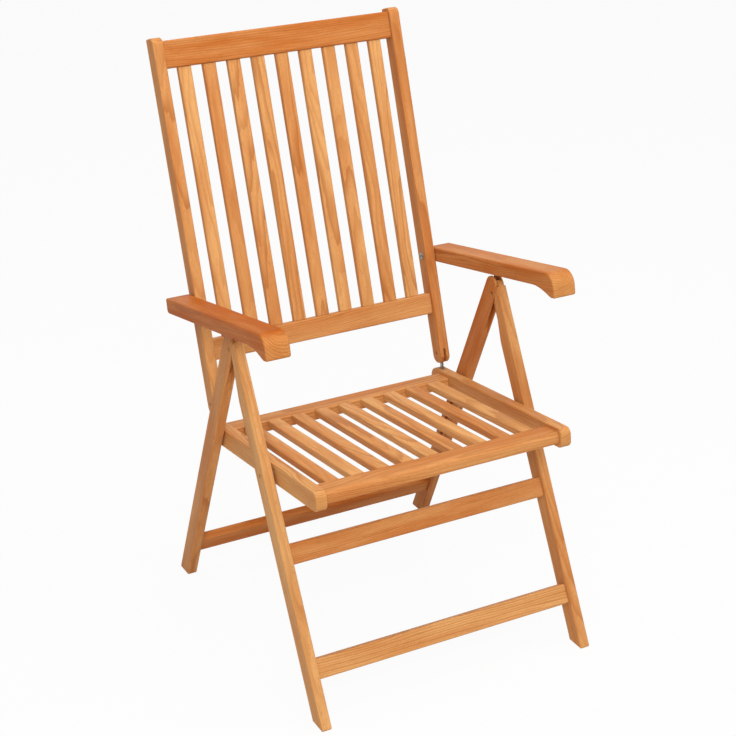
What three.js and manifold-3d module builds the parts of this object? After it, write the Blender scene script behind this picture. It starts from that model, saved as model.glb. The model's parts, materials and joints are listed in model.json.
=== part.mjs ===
// Folding teak armchair with a high reclining back.
// Units are millimetres. +X is the sitter's left, +Y the rear and +Z up. The chair faces -Y.
// Each assembly is drawn about its own pivot, as if its boards stood upright or lay level,
// and a group then leans it into place.

import * as THREE from 'three';
import { mergeVertices } from 'three/addons/utils/BufferGeometryUtils.js';
import Module from 'manifold-3d';

const wasm = await Module();
wasm.setup();

// Shared sizes
const joint_gap = 0.3; // between boards that meet, and round a fixed pin
const running_gap = 0.4; // between parts that turn past each other
const overrun = 5; // how far a cutter passes through the face it opens
const eased_edge = 2; // worn-round corner of every board
const rail_edge = 3; // rounder corner along rails and slats
const arc_steps = 6;
const edge_steps = 2;
const round_sides = 16;
const tenon_length = 12; // of the cross rails, let into legs, seat sides and stiles
const tenon_thickness = 9;
const tenon_shoulder = 8; // step beside a tenon, at each end of its width

// Apex, where both leg frames turn together
const apex_height = 604;
const leg_outer = 282; // outer face of the legs, from the middle of the chair
const leg_thickness = 19.8;
const leg_width = 36;
const leg_set_off = 9; // centre line of a leg, from the apex pin
const front_lean = THREE.MathUtils.degToRad(27.3);
const rear_lean = THREE.MathUtils.degToRad(25.2);
const leg_fold_share = 0.4946; // turn of the rear legs for each degree of the seat
const fold_limit = THREE.MathUtils.degToRad(86);
const apex_pin_radius = 3.5;
const rack_rod_radius = 3;
const rack_rod_rise = 24; // rod above the apex pin, across the fork of the rear leg
const rack_rod_seat = 3.5; // depth of the rod in each cheek of the fork
const rear_crown_rise = 15; // middle of the rear leg's round top, above the apex pin
const tongue_thickness = 9;
const tongue_radius = 15;

// Rails between the legs
const leg_rail_height = 37;
const leg_rail_thickness = 22;
const leg_rail_set_back = 5; // behind the front edge of the legs
const upper_rail_drop = 359; // top edge of the rail, down the leg from the apex
const lower_rail_drop = 566;
const stretcher_drop = 562;
const stretcher_height = 35;
const stretcher_thickness = 20;

// Seat
const seat_leg_gap = 4.9; // between a seat side and the leg beside it
const side_thickness = 21.7; // seat side rails and back stiles
const seat_tilt = THREE.MathUtils.degToRad(7);
const seat_pivot_drop = 230; // seat pivot, down the front leg from the apex
const seat_side_height = 38;
const seat_front_reach = 178; // front end of the side rails, from the seat pivot
const seat_tail_length = 28; // side rails behind the hinge pin
const seat_nose_radius = 13;
const seat_step = 7; // slats and cross rails below the top of the side rails
const seat_front_rail_depth = 45.7;
const seat_front_rail_recess = 7;
const seat_front_rail_round = 9;
const seat_rear_rail_depth = 42;
const seat_rear_rail_set = 2; // rear face of the rear rail, in front of the hinge pin
const seat_rail_height = 22;
const seat_slat_thickness = 14;
const slat_width = 26;
const slat_count = 9;
const slat_tenon_length = 8;
const slat_tenon_thickness = 6;
const slat_tenon_width = 16;
const seat_bolt_radius = 4;
const seat_bolt_cover = 4; // wood between the blind end of the bolt and the inside of the side rail
const bolt_head_radius = 8;
const bolt_head_height = 3;
const bolt_rim_share = 0.45; // upright rim of a domed head, of its height
const dome_steps = 3;
const guide_pin_radius = 4;
const guide_pin_seat = 8; // depth of the pin in the seat side
const guide_groove_depth = 9;
const guide_drift = 0.6; // sideways wander of the pin from the middle of its groove

// Hinge between seat and back
const hinge_reach = 271; // hinge pin behind the seat pivot
const hinge_rise = 34; // hinge pin above the top of the side rails
const hinge_plate_thickness = 4;
const hinge_plate_width = 16;
const hinge_pin_radius = 3;
const hinge_plate_foot = 16; // lower end of the plate, below the top of the side rail

// Back
const back_lean = THREE.MathUtils.degToRad(17.4);
const stile_depth = 32;
const stile_length = 709;
const stile_below_hinge = 20;
const stile_top_round = 13;
const back_rail_thickness = 22;
const top_rail_height = 51;
const top_rail_drop = 7; // top rail below the ends of the stiles
const bottom_rail_height = 41;
const bottom_rail_rise = 82.5; // lower edge of the bottom rail, above the hinge pin
const back_slat_thickness = 12;
const back_slat_recess = 3; // slat faces behind the rail faces

// Armrests
const arm_slope = THREE.MathUtils.degToRad(11.3);
const arm_stile_gap = 2; // between a stile and the arm beside it
const arm_width = 47;
const arm_thickness = 29;
const arm_tail = 12; // rear end of the arm, behind its bolt
const arm_tail_round = 7;
const arm_length = 441; // arm bolt to the tip of the nose
const arm_bolt_rise = 198.3; // arm bolt above the hinge pin
const nose_drop = 17; // lowest point of the nose, below the underside
const nose_foot = 14; // flat under the nose
const nose_sweep = 62; // length of the hollow curve behind it
const nose_top_round = 27;
const nose_foot_round = 5;
const nose_foot_shares = [0.35, 0.55]; // pull of the hollow curve at the foot, of its length and height
const nose_root_share = 0.4; // pull of the hollow curve at the underside, of its length
const arm_bolt_radius = 4;
const arm_bolt_depth = 30;
const rack_thickness = 4;
const rack_let_in = 10; // depth of the rack inside the arm
const notch_count = 5;
const notch_radius = 4.4;
const rack_end = 12; // rack beyond the middle of its end notches
const recline_limit = THREE.MathUtils.degToRad(28);
const arm_recline_share = 0.7788; // turn of the arm for each degree of the back

// Finishes
const teak_tones = ['#c98a4b', '#c07c3f', '#d3985a', '#b8723a', '#cf9150', '#c58344'];
const steel_tone = '#8f8d88';
const bronze_tone = '#5c4030';
const teak_roughness = 0.55;
const metal_roughness = 0.35;

// Sizes that follow from the ones above
const leg_inner = leg_outer - leg_thickness;
const leg_middle = leg_outer - leg_thickness / 2;
const leg_half = leg_width / 2;
const near_edge = leg_half - leg_set_off; // leg edge on the crotch side of the apex pin
const far_edge = leg_half + leg_set_off;
const slot_width = tongue_thickness + 2 * running_gap;
const seat_outer = leg_inner - seat_leg_gap; // outer faces of the seat sides and the stiles
const seat_inner = seat_outer - side_thickness;
const side_middle = seat_outer - side_thickness / 2;
const head_face = seat_inner - running_gap; // under the bolt heads
const side_half = seat_side_height / 2;
const slat_top = side_half - seat_step;
const hinge_up = side_half + hinge_rise;
const seat_rear_reach = hinge_reach + seat_tail_length;
const seat_rear_rail_reach = hinge_reach - seat_rear_rail_set;
const stile_half = stile_depth / 2;
const stile_top = stile_length - stile_below_hinge;
const arm_inner = seat_outer + arm_stile_gap;
const arm_half = arm_thickness / 2;
const closed_angle = front_lean + rear_lean - leg_fold_share * fold_limit;

// Mesh plumbing
function toSolid(geometry) {
  const bare = geometry.clone();
  bare.deleteAttribute('normal');
  bare.deleteAttribute('uv');
  const merged = mergeVertices(bare);
  return new wasm.Manifold(new wasm.Mesh({
    numProp: 3,
    vertProperties: Float32Array.from(merged.attributes.position.array),
    triVerts: Uint32Array.from(merged.index.array),
  }));
}

function toGeometry(solid) {
  const mesh = solid.getMesh();
  const geometry = new THREE.BufferGeometry();
  geometry.setAttribute('position', new THREE.BufferAttribute(mesh.vertProperties, mesh.numProp));
  geometry.setIndex(new THREE.BufferAttribute(mesh.triVerts, 1));
  const faceted = geometry.toNonIndexed();
  faceted.computeVertexNormals();
  return faceted;
}

function carve(geometry, cutters) {
  let solid = toSolid(geometry);
  for (const cutter of cutters) {
    solid = solid.subtract(toSolid(cutter));
  }
  return toGeometry(solid);
}

function join(geometries) {
  let solid = toSolid(geometries[0]);
  for (const other of geometries.slice(1)) {
    solid = solid.add(toSolid(other));
  }
  return toGeometry(solid);
}

// The same piece for the other side of the chair
function mirrored(geometry) {
  const flipped = (geometry.index ? geometry.toNonIndexed() : geometry.clone());
  const points = flipped.attributes.position;
  for (let corner = 0; corner < points.count; corner += 3) {
    const first = new THREE.Vector3().fromBufferAttribute(points, corner + 1);
    const second = new THREE.Vector3().fromBufferAttribute(points, corner + 2);
    points.setXYZ(corner + 1, second.x, second.y, second.z);
    points.setXYZ(corner + 2, first.x, first.y, first.z);
  }
  flipped.scale(-1, 1, 1);
  flipped.computeVertexNormals();
  return flipped;
}

// Shape x runs to the rear, shape y runs up, and the board is as thick as the span along X.
const side_view = new THREE.Matrix4().makeBasis(
  new THREE.Vector3(0, 1, 0),
  new THREE.Vector3(0, 0, 1),
  new THREE.Vector3(1, 0, 0),
);

function sideBoard(shape, x_from, thickness, edge = 0) {
  const geometry = new THREE.ExtrudeGeometry(shape, {
    depth: thickness - 2 * edge,
    bevelEnabled: edge > 0,
    bevelThickness: edge,
    bevelSize: edge,
    bevelOffset: -edge,
    bevelSegments: edge_steps,
    curveSegments: arc_steps,
  });
  geometry.translate(0, 0, edge);
  geometry.applyMatrix4(side_view);
  geometry.translate(x_from, 0, 0);
  return geometry;
}

function block(x, y, z) {
  const geometry = new THREE.BoxGeometry(x[1] - x[0], y[1] - y[0], z[1] - z[0]);
  geometry.translate((x[0] + x[1]) / 2, (y[0] + y[1]) / 2, (z[0] + z[1]) / 2);
  return geometry;
}

function roundedSection(width, height, radius) {
  const shape = new THREE.Shape();
  const w = width / 2;
  const h = height / 2;
  const r = radius;
  shape.moveTo(-w + r, -h);
  shape.lineTo(w - r, -h);
  shape.absarc(w - r, -h + r, r, -Math.PI / 2, 0);
  shape.absarc(w - r, h - r, r, 0, Math.PI / 2);
  shape.absarc(-w + r, h - r, r, Math.PI / 2, Math.PI);
  shape.absarc(-w + r, -h + r, r, Math.PI, Math.PI * 1.5);
  return shape;
}

// Turns a section, drawn across a stick, so that the stick runs along one axis
const grain_frames = {
  x: side_view,
  y: new THREE.Matrix4().makeRotationX(Math.PI / 2),
  z: new THREE.Matrix4(),
};

// A stick with its long edges rounded, filling the three ranges, with its grain along one axis.
function stick(axis, x, y, z) {
  const spans = { x: x[1] - x[0], y: y[1] - y[0], z: z[1] - z[0] };
  const sections = { x: [spans.y, spans.z], y: [spans.x, spans.z], z: [spans.x, spans.y] };
  const geometry = new THREE.ExtrudeGeometry(
    roundedSection(sections[axis][0], sections[axis][1], rail_edge),
    { depth: spans[axis], bevelEnabled: false, curveSegments: edge_steps },
  );
  geometry.translate(0, 0, -spans[axis] / 2);
  geometry.applyMatrix4(grain_frames[axis]);
  geometry.translate((x[0] + x[1]) / 2, (y[0] + y[1]) / 2, (z[0] + z[1]) / 2);
  return geometry;
}

// A pin across the chair, from one X to another
function crossPin(radius, x_from, x_to, rear, up) {
  const geometry = new THREE.CylinderGeometry(radius, radius, x_to - x_from, round_sides);
  geometry.rotateZ(Math.PI / 2);
  geometry.translate((x_from + x_to) / 2, rear, up);
  return geometry;
}

function domedHead(radius, height, x_face, rear, up, direction) {
  const profile = [new THREE.Vector2(0, 0), new THREE.Vector2(radius, 0)];
  for (let step = 0; step <= dome_steps; step += 1) {
    const turn = Math.PI * step / (2 * dome_steps);
    const rise = bolt_rim_share + (1 - bolt_rim_share) * Math.sin(turn);
    profile.push(new THREE.Vector2(radius * Math.cos(turn), height * rise));
  }
  const geometry = new THREE.LatheGeometry(profile, round_sides);
  geometry.rotateZ(-direction * Math.PI / 2);
  geometry.translate(x_face, rear, up);
  return geometry;
}

let tone = 0;
function teak() {
  tone += 1;
  return new THREE.MeshStandardMaterial({
    color: teak_tones[tone % teak_tones.length],
    roughness: teak_roughness,
    metalness: 0,
  });
}

function metal(color) {
  return new THREE.MeshStandardMaterial({ color, roughness: metal_roughness, metalness: 1 });
}

function place(group, name, geometry, material) {
  const mesh = new THREE.Mesh(geometry, material);
  mesh.name = name;
  group.add(mesh);
}

function placePair(group, name, geometry, makeMaterial) {
  place(group, `${name}_left`, geometry, makeMaterial());
  place(group, `${name}_right`, mirrored(geometry), makeMaterial());
}

// Pivots, as points of the side view
const apex = new THREE.Vector2(0, apex_height);
const leaned = (rear, up, lean) => new THREE.Vector2(
  rear * Math.cos(lean) + up * Math.sin(lean),
  up * Math.cos(lean) - rear * Math.sin(lean),
);
const seat_pivot = leaned(-leg_set_off, -seat_pivot_drop, front_lean).add(apex);
const hinge = leaned(hinge_reach, hinge_up, seat_tilt).add(seat_pivot);
const arm_bolt = leaned(0, arm_bolt_rise, back_lean).add(hinge);

// Guide pin: where the middle line of the seat side crosses the middle line of the rear leg
const rear_middle = leaned(leg_set_off, 0, -rear_lean).add(apex);
const rear_down = leaned(0, -1, -rear_lean);
const seat_along = leaned(1, 0, seat_tilt);
const to_rear_middle = rear_middle.clone().sub(seat_pivot);
const guide_reach = to_rear_middle.cross(rear_down) / seat_along.cross(rear_down);
const guide_rest = seat_along.clone().multiplyScalar(guide_reach).add(seat_pivot);
const guide_folded = leaned(guide_reach, 0, seat_tilt + fold_limit).add(seat_pivot);
const guide_top_drop = guide_rest.clone().sub(rear_middle).dot(rear_down);
const guide_end_drop = Math.sqrt(guide_folded.distanceToSquared(apex) - leg_set_off ** 2);

// Rack rod: across the fork, on the middle line of the rear leg
const upRearLeg = (rise) => (rise - (rear_middle.y - apex.y)) / -rear_down.y;
const rack_rod_up = upRearLeg(rack_rod_rise);
const rear_crown_up = upRearLeg(rear_crown_rise);
const rack_rod = rear_middle.clone().addScaledVector(rear_down, -rack_rod_up);

// Local height of the floor under a leg edge
const frontFloor = (rear) => (rear * Math.sin(front_lean) - apex_height) / Math.cos(front_lean);
const rearFloor = (rear) => (-rear * Math.sin(rear_lean) - apex_height) / Math.cos(rear_lean);

function legBlank(front_edge, rear_edge, floor, crown_up) {
  const middle = (front_edge + rear_edge) / 2;
  const shape = new THREE.Shape();
  shape.moveTo(front_edge, floor(front_edge));
  shape.lineTo(rear_edge, floor(rear_edge));
  shape.absarc(middle, crown_up, leg_half, 0, Math.PI);
  return sideBoard(shape, leg_inner, leg_thickness, eased_edge);
}

// Section of a rail's tenon, or of its mortise with some slack: thin across the rail's thin side
function tenonSection(y, z, slack) {
  const lies_flat = y[1] - y[0] > z[1] - z[0];
  const thin = lies_flat ? z : y;
  const wide = lies_flat ? y : z;
  const middle = (thin[0] + thin[1]) / 2;
  const half = tenon_thickness / 2 + slack;
  const thin_range = [middle - half, middle + half];
  const wide_range = [wide[0] + tenon_shoulder - slack, wide[1] - tenon_shoulder + slack];
  return lies_flat ? [wide_range, thin_range] : [thin_range, wide_range];
}

// A cross rail with a tenon at each end, let into the uprights whose inner faces are given
function tenonedRail(body, inner_face, y, z) {
  const reach = inner_face + tenon_length;
  return join([body, block([-reach, reach], ...tenonSection(y, z, 0))]);
}

function mortise(inner_face, y, z) {
  return block(
    [inner_face - overrun, inner_face + tenon_length + joint_gap],
    ...tenonSection(y, z, joint_gap),
  );
}

// Tenon of a slat, or its mortise with some slack. Slats run along Y in the seat, along Z in the back.
function slatTenon(axis, middle, along, across, slack) {
  const width = slat_tenon_width / 2 + slack;
  const centre = (across[0] + across[1]) / 2;
  const half_thick = slat_tenon_thickness / 2 + slack;
  const thin = [centre - half_thick, centre + half_thick];
  const long = [along[0] - slat_tenon_length - slack, along[1] + slat_tenon_length + slack];
  const x = [middle - width, middle + width];
  return axis === 'y' ? block(x, long, thin) : block(x, thin, long);
}

function legRail(y, z) {
  const half_span = leg_inner - joint_gap;
  return tenonedRail(stick('x', [-half_span, half_span], y, z), leg_inner, y, z);
}

// Front leg frame: two legs with tongues at the top, and two rails
function frontLegs() {
  const group = new THREE.Group();
  group.position.set(0, apex.x, apex.y);
  group.rotation.x = -front_lean;

  const rail_y = [-far_edge + leg_rail_set_back, -far_edge + leg_rail_set_back + leg_rail_thickness];
  const upper_z = [-upper_rail_drop - leg_rail_height, -upper_rail_drop];
  const lower_z = [-lower_rail_drop - leg_rail_height, -lower_rail_drop];

  const rear = -leg_set_off;
  const up = -seat_pivot_drop;

  const cheek = (leg_thickness - tongue_thickness) / 2;
  const cheek_cut = cheekClearance();
  const leg = carve(legBlank(-far_edge, near_edge, frontFloor, 0), [
    sideBoard(cheek_cut, leg_inner - overrun, overrun + cheek),
    sideBoard(cheek_cut, leg_outer - cheek, overrun + cheek),
    sideBoard(tongueCrown(), leg_inner - overrun, leg_thickness + 2 * overrun),
    crossPin(apex_pin_radius + running_gap, leg_inner - overrun, leg_outer + overrun, 0, 0),
    crossPin(seat_bolt_radius + joint_gap, leg_inner - overrun, leg_outer + overrun, rear, up),
    mortise(leg_inner, rail_y, upper_z),
    mortise(leg_inner, rail_y, lower_z),
  ]);
  placePair(group, 'front_leg', leg, teak);
  place(group, 'front_upper_rail', legRail(rail_y, upper_z), teak());
  place(group, 'front_lower_rail', legRail(rail_y, lower_z), teak());

  const seat_bolt = join([
    crossPin(seat_bolt_radius, seat_inner + seat_bolt_cover, leg_outer - joint_gap, rear, up),
    crossPin(bolt_head_radius, seat_outer + running_gap, leg_inner - joint_gap, rear, up),
  ]);
  placePair(group, 'seat_bolt', seat_bolt, () => metal(steel_tone));
  return group;
}

// Space that the two cheeks of the rear leg sweep, seen along the front leg.
// Its edge is the rear leg's front edge: as it stands open above the pin, and as it closes below.
function cheekClearance() {
  const reach = near_edge + running_gap;
  const open = front_lean + rear_lean;
  const half_sweep = (open - closed_angle) / 2;
  const wide = leg_width * 2;
  const edgePoint = (angle, along) => new THREE.Vector2(
    -reach * Math.cos(angle) + along * Math.sin(angle),
    -reach * Math.sin(angle) - along * Math.cos(angle),
  );
  const above = edgePoint(open, -wide);
  const corner = edgePoint(open, -reach * Math.tan(half_sweep));
  const below = edgePoint(closed_angle, (near_edge + reach) / Math.sin(closed_angle) + leg_half);
  return new THREE.Shape([
    above,
    corner,
    below,
    new THREE.Vector2(wide, below.y),
    new THREE.Vector2(wide, above.y),
  ]);
}

// What is taken off above the tongue, so that the rack rod passes over it.
// The top is level in front of the apex pin and round behind it.
function tongueCrown() {
  const wide = leg_width * 2;
  const top_angle = Math.PI / 2 + front_lean;
  const top = new THREE.Vector2(Math.cos(top_angle), Math.sin(top_angle)).multiplyScalar(tongue_radius);
  const level = new THREE.Vector2(Math.cos(front_lean), Math.sin(front_lean));
  const front = top.clone().addScaledVector(level, -wide);
  const shape = new THREE.Shape();
  shape.moveTo(front.x, front.y);
  shape.lineTo(top.x, top.y);
  shape.absarc(0, 0, tongue_radius, top_angle, 0, true);
  shape.lineTo(wide, 0);
  shape.lineTo(wide, wide);
  shape.lineTo(front.x, wide);
  return shape;
}

// Rear leg frame: two legs forked at the top, one stretcher, the apex pins and the rack rods
function rearLegs() {
  const group = new THREE.Group();
  group.position.set(0, apex.x, apex.y);
  group.rotation.x = rear_lean;

  const rail_y = [-near_edge + leg_rail_set_back, -near_edge + leg_rail_set_back + stretcher_thickness];
  const rail_z = [-stretcher_drop - stretcher_height, -stretcher_drop];
  const rod_half = slot_width / 2 + rack_rod_seat;
  const rod_bore = rack_rod_radius + joint_gap;
  const bore_half = rod_half + joint_gap;

  const leg = carve(legBlank(-near_edge, far_edge, rearFloor, rear_crown_up), [
    sideBoard(forkSlot(), leg_middle - slot_width / 2, slot_width),
    guideGroove(),
    crossPin(apex_pin_radius + joint_gap, leg_inner - overrun, leg_outer + overrun, 0, 0),
    crossPin(rod_bore, leg_middle - bore_half, leg_middle + bore_half, leg_set_off, rack_rod_up),
    mortise(leg_inner, rail_y, rail_z),
  ]);
  placePair(group, 'rear_leg', leg, teak);
  place(group, 'rear_stretcher', legRail(rail_y, rail_z), teak());
  const pin_inner = leg_inner + joint_gap;
  const pin_outer = leg_outer - joint_gap;
  const apex_pin = crossPin(apex_pin_radius, pin_inner, pin_outer, 0, 0);
  const rod_span = [leg_middle - rod_half, leg_middle + rod_half];
  const rod = crossPin(rack_rod_radius, ...rod_span, leg_set_off, rack_rod_up);
  placePair(group, 'apex_pin', apex_pin, () => metal(steel_tone));
  placePair(group, 'rack_rod', rod, () => metal(steel_tone));
  return group;
}

// Slot of the fork: open at the top, and deep enough for the front leg when the legs close
function forkSlot() {
  const round = tongue_radius + running_gap;
  const edge = near_edge + running_gap;
  const wide = leg_width * 2;
  const meet = closed_angle + Math.acos(edge / round);
  const fall = (edge * Math.cos(closed_angle) + near_edge) / Math.sin(closed_angle) + leg_width / 2;
  const foot = new THREE.Vector2(
    edge * Math.cos(closed_angle) - fall * Math.sin(closed_angle),
    -edge * Math.sin(closed_angle) - fall * Math.cos(closed_angle),
  );
  const shape = new THREE.Shape();
  shape.moveTo(-wide, wide);
  shape.lineTo(-wide, foot.y);
  shape.lineTo(foot.x, foot.y);
  shape.absarc(0, 0, round, -meet, 0, false);
  shape.lineTo(wide, 0);
  shape.lineTo(wide, wide);
  return shape;
}

// Groove along the inner face of the rear leg, in which the seat's guide pin slides
function guideGroove() {
  const half = guide_pin_radius + guide_drift + running_gap;
  const middle = leg_set_off + guide_drift;
  const shape = new THREE.Shape();
  shape.absarc(middle, -guide_top_drop, half, 0, Math.PI, false);
  shape.absarc(middle, -guide_end_drop, half, Math.PI, Math.PI * 2, false);
  return sideBoard(shape, leg_inner - overrun, guide_groove_depth + overrun);
}

// Seat: side rails, cross rails, slats, guide pins and hinge plates
function seat() {
  const group = new THREE.Group();
  group.position.set(0, seat_pivot.x, seat_pivot.y);
  group.rotation.x = -seat_tilt;

  const rail_z = [slat_top - seat_rail_height, slat_top];
  const front_face = -seat_front_reach + seat_front_rail_recess;
  const front_y = [front_face, front_face + seat_front_rail_depth];
  const rear_y = [seat_rear_rail_reach - seat_rear_rail_depth, seat_rear_rail_reach];

  const side_mortises = [front_y, rear_y].map((rail_y) => mortise(seat_inner, rail_y, rail_z));
  placePair(group, 'seat_side_rail', seatSide(side_mortises), teak);

  const slat_y = [front_y[1] + joint_gap, rear_y[0] - joint_gap];
  const slat_z = [slat_top - seat_slat_thickness, slat_top];
  const slat_mortises = slatMiddles().map((middle) => slatTenon('y', middle, slat_y, slat_z, joint_gap));
  const half_span = seat_inner - joint_gap;
  const front_rail = tenonedRail(seatFrontRail(front_y, rail_z, half_span), seat_inner, front_y, rail_z);
  const rear_stick = stick('x', [-half_span, half_span], rear_y, rail_z);
  const rear_rail = tenonedRail(rear_stick, seat_inner, rear_y, rail_z);
  place(group, 'seat_front_rail', carve(front_rail, slat_mortises), teak());
  place(group, 'seat_rear_rail', carve(rear_rail, slat_mortises), teak());

  slatMiddles().forEach((middle, index) => {
    const x = [middle - slat_width / 2, middle + slat_width / 2];
    const slat = join([stick('y', x, slat_y, slat_z), slatTenon('y', middle, slat_y, slat_z, 0)]);
    place(group, `seat_slat_${index + 1}`, slat, teak());
  });

  const guide = crossPin(guide_pin_radius, seat_outer - guide_pin_seat + joint_gap,
    leg_inner + guide_groove_depth - 2 * running_gap, guide_reach, 0);
  placePair(group, 'guide_pin', guide, () => metal(steel_tone));
  placePair(group, 'hinge_plate', hingePlate(), () => metal(steel_tone));
  return group;
}

// Side rail with a square nose, a round rear end, and the slot for the foot of the hinge plate
function seatSide(mortises) {
  const front = -seat_front_reach;
  const r = seat_nose_radius;
  const shape = new THREE.Shape();
  shape.absarc(front + r, side_half - r, r, Math.PI / 2, Math.PI, false);
  shape.absarc(front + r, -side_half + r, r, Math.PI, Math.PI * 1.5, false);
  shape.absarc(seat_rear_reach - side_half, 0, side_half, -Math.PI / 2, Math.PI / 2, false);
  const slot_half_thick = hinge_plate_thickness / 2 + joint_gap;
  const slot_half_wide = hinge_plate_width / 2 + joint_gap;
  const guide_bore = guide_pin_radius + joint_gap;
  const bolt_end = seat_inner + seat_bolt_cover - joint_gap;
  return carve(sideBoard(shape, seat_inner, side_thickness, eased_edge), [
    crossPin(seat_bolt_radius + running_gap, bolt_end, seat_outer + overrun, 0, 0),
    crossPin(guide_bore, seat_outer - guide_pin_seat, seat_outer + overrun, guide_reach, 0),
    block([side_middle - slot_half_thick, side_middle + slot_half_thick],
      [hinge_reach - slot_half_wide, hinge_reach + slot_half_wide],
      [side_half - hinge_plate_foot - joint_gap, side_half + overrun]),
    ...mortises,
  ]);
}

// Front rail, with its upper front edge rounded under the knees
function seatFrontRail(y, z, half_span) {
  const q = seat_front_rail_round;
  const shape = new THREE.Shape();
  shape.moveTo(y[1], z[0]);
  shape.lineTo(y[1], z[1]);
  shape.absarc(y[0] + q, z[1] - q, q, Math.PI / 2, Math.PI, false);
  shape.absarc(y[0] + rail_edge, z[0] + rail_edge, rail_edge, Math.PI, Math.PI * 1.5, false);
  return sideBoard(shape, -half_span, 2 * half_span);
}

function slatMiddles() {
  const pitch = (2 * seat_inner + slat_width) / (slat_count + 1);
  return Array.from({ length: slat_count }, (_, index) => (index - (slat_count - 1) / 2) * pitch);
}

// Upright steel plate: its foot is let into the seat side, and its round head turns in the stile
function hingePlate() {
  const half = hinge_plate_width / 2;
  const foot = side_half - hinge_plate_foot;
  const shape = new THREE.Shape();
  shape.moveTo(hinge_reach - half, foot);
  shape.lineTo(hinge_reach + half, foot);
  shape.absarc(hinge_reach, hinge_up, half, 0, Math.PI, false);
  const bore = new THREE.Path();
  bore.absarc(hinge_reach, hinge_up, hinge_pin_radius + joint_gap, 0, Math.PI * 2, true);
  shape.holes.push(bore);
  return sideBoard(shape, side_middle - hinge_plate_thickness / 2, hinge_plate_thickness);
}

// Hinge pins, fast in the plates of the seat, on which the stiles turn
function hingePins() {
  const group = new THREE.Group();
  group.position.set(0, hinge.x, hinge.y);
  const pin = crossPin(hinge_pin_radius, seat_inner + joint_gap, seat_outer - joint_gap, 0, 0);
  placePair(group, 'hinge_pin', pin, () => metal(steel_tone));
  return group;
}

// Back: two stiles, two rails and the slats between them
function back() {
  const group = new THREE.Group();
  group.position.set(0, hinge.x, hinge.y);
  group.rotation.x = -back_lean;

  const rail_y = [-back_rail_thickness / 2, back_rail_thickness / 2];
  const top_z = [stile_top - top_rail_drop - top_rail_height, stile_top - top_rail_drop];
  const bottom_z = [bottom_rail_rise, bottom_rail_rise + bottom_rail_height];
  const stile_mortises = [top_z, bottom_z].map((rail_z) => mortise(seat_inner, rail_y, rail_z));
  placePair(group, 'back_stile', backStile(stile_mortises), teak);

  const slat_front = -back_rail_thickness / 2 + back_slat_recess;
  const slat_y = [slat_front, slat_front + back_slat_thickness];
  const slat_z = [bottom_z[1] + joint_gap, top_z[0] - joint_gap];
  const slat_mortises = slatMiddles().map((middle) => slatTenon('z', middle, slat_z, slat_y, joint_gap));
  const half_span = seat_inner - joint_gap;
  const backRail = (z) => carve(
    tenonedRail(stick('x', [-half_span, half_span], rail_y, z), seat_inner, rail_y, z),
    slat_mortises,
  );
  place(group, 'back_top_rail', backRail(top_z), teak());
  place(group, 'back_bottom_rail', backRail(bottom_z), teak());

  slatMiddles().forEach((middle, index) => {
    const x = [middle - slat_width / 2, middle + slat_width / 2];
    const slat = join([stick('z', x, slat_y, slat_z), slatTenon('z', middle, slat_z, slat_y, 0)]);
    place(group, `back_slat_${index + 1}`, slat, teak());
  });
  return group;
}

// Stile with a rounded front to its top, and a round foot slotted for the hinge plate
function backStile(mortises) {
  const t = stile_top_round;
  const shape = new THREE.Shape();
  shape.absarc(0, -stile_below_hinge + stile_half, stile_half, Math.PI, Math.PI * 2, false);
  shape.lineTo(stile_half, stile_top - eased_edge);
  shape.lineTo(stile_half - eased_edge, stile_top);
  shape.absarc(-stile_half + t, stile_top - t, t, Math.PI / 2, Math.PI, false);
  const slot_half_thick = hinge_plate_thickness / 2 + running_gap;
  return carve(sideBoard(shape, seat_inner, side_thickness, eased_edge), [
    block([side_middle - slot_half_thick, side_middle + slot_half_thick], [-stile_depth, stile_depth],
      [-stile_below_hinge - overrun, hinge_plate_width / 2 + running_gap]),
    crossPin(hinge_pin_radius + running_gap, seat_inner - overrun, seat_outer + overrun, 0, 0),
    crossPin(arm_bolt_radius + running_gap, seat_inner - overrun, seat_outer + overrun, 0, arm_bolt_rise),
    ...mortises,
  ]);
}

// Arm bolts, fast in the arms, which turn in the stiles
function armBolts() {
  const group = new THREE.Group();
  group.position.set(0, arm_bolt.x, arm_bolt.y);
  const bolt = join([
    crossPin(arm_bolt_radius, head_face - bolt_head_height / 2, arm_inner + arm_bolt_depth, 0, 0),
    domedHead(bolt_head_radius, bolt_head_height, head_face, 0, 0, -1),
    crossPin(bolt_head_radius, seat_outer + running_gap, arm_inner - running_gap, 0, 0),
  ]);
  placePair(group, 'arm_bolt', bolt, () => metal(steel_tone));
  return group;
}

// Place of the rack rod in the arm's own view, when the back has reclined by an angle
function rodInArm(recline) {
  const bolt = leaned(0, arm_bolt_rise, back_lean + recline).add(hinge);
  const offset = rack_rod.clone().sub(bolt);
  return leaned(offset.x, offset.y, -(arm_slope + recline * (1 - arm_recline_share)));
}

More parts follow.
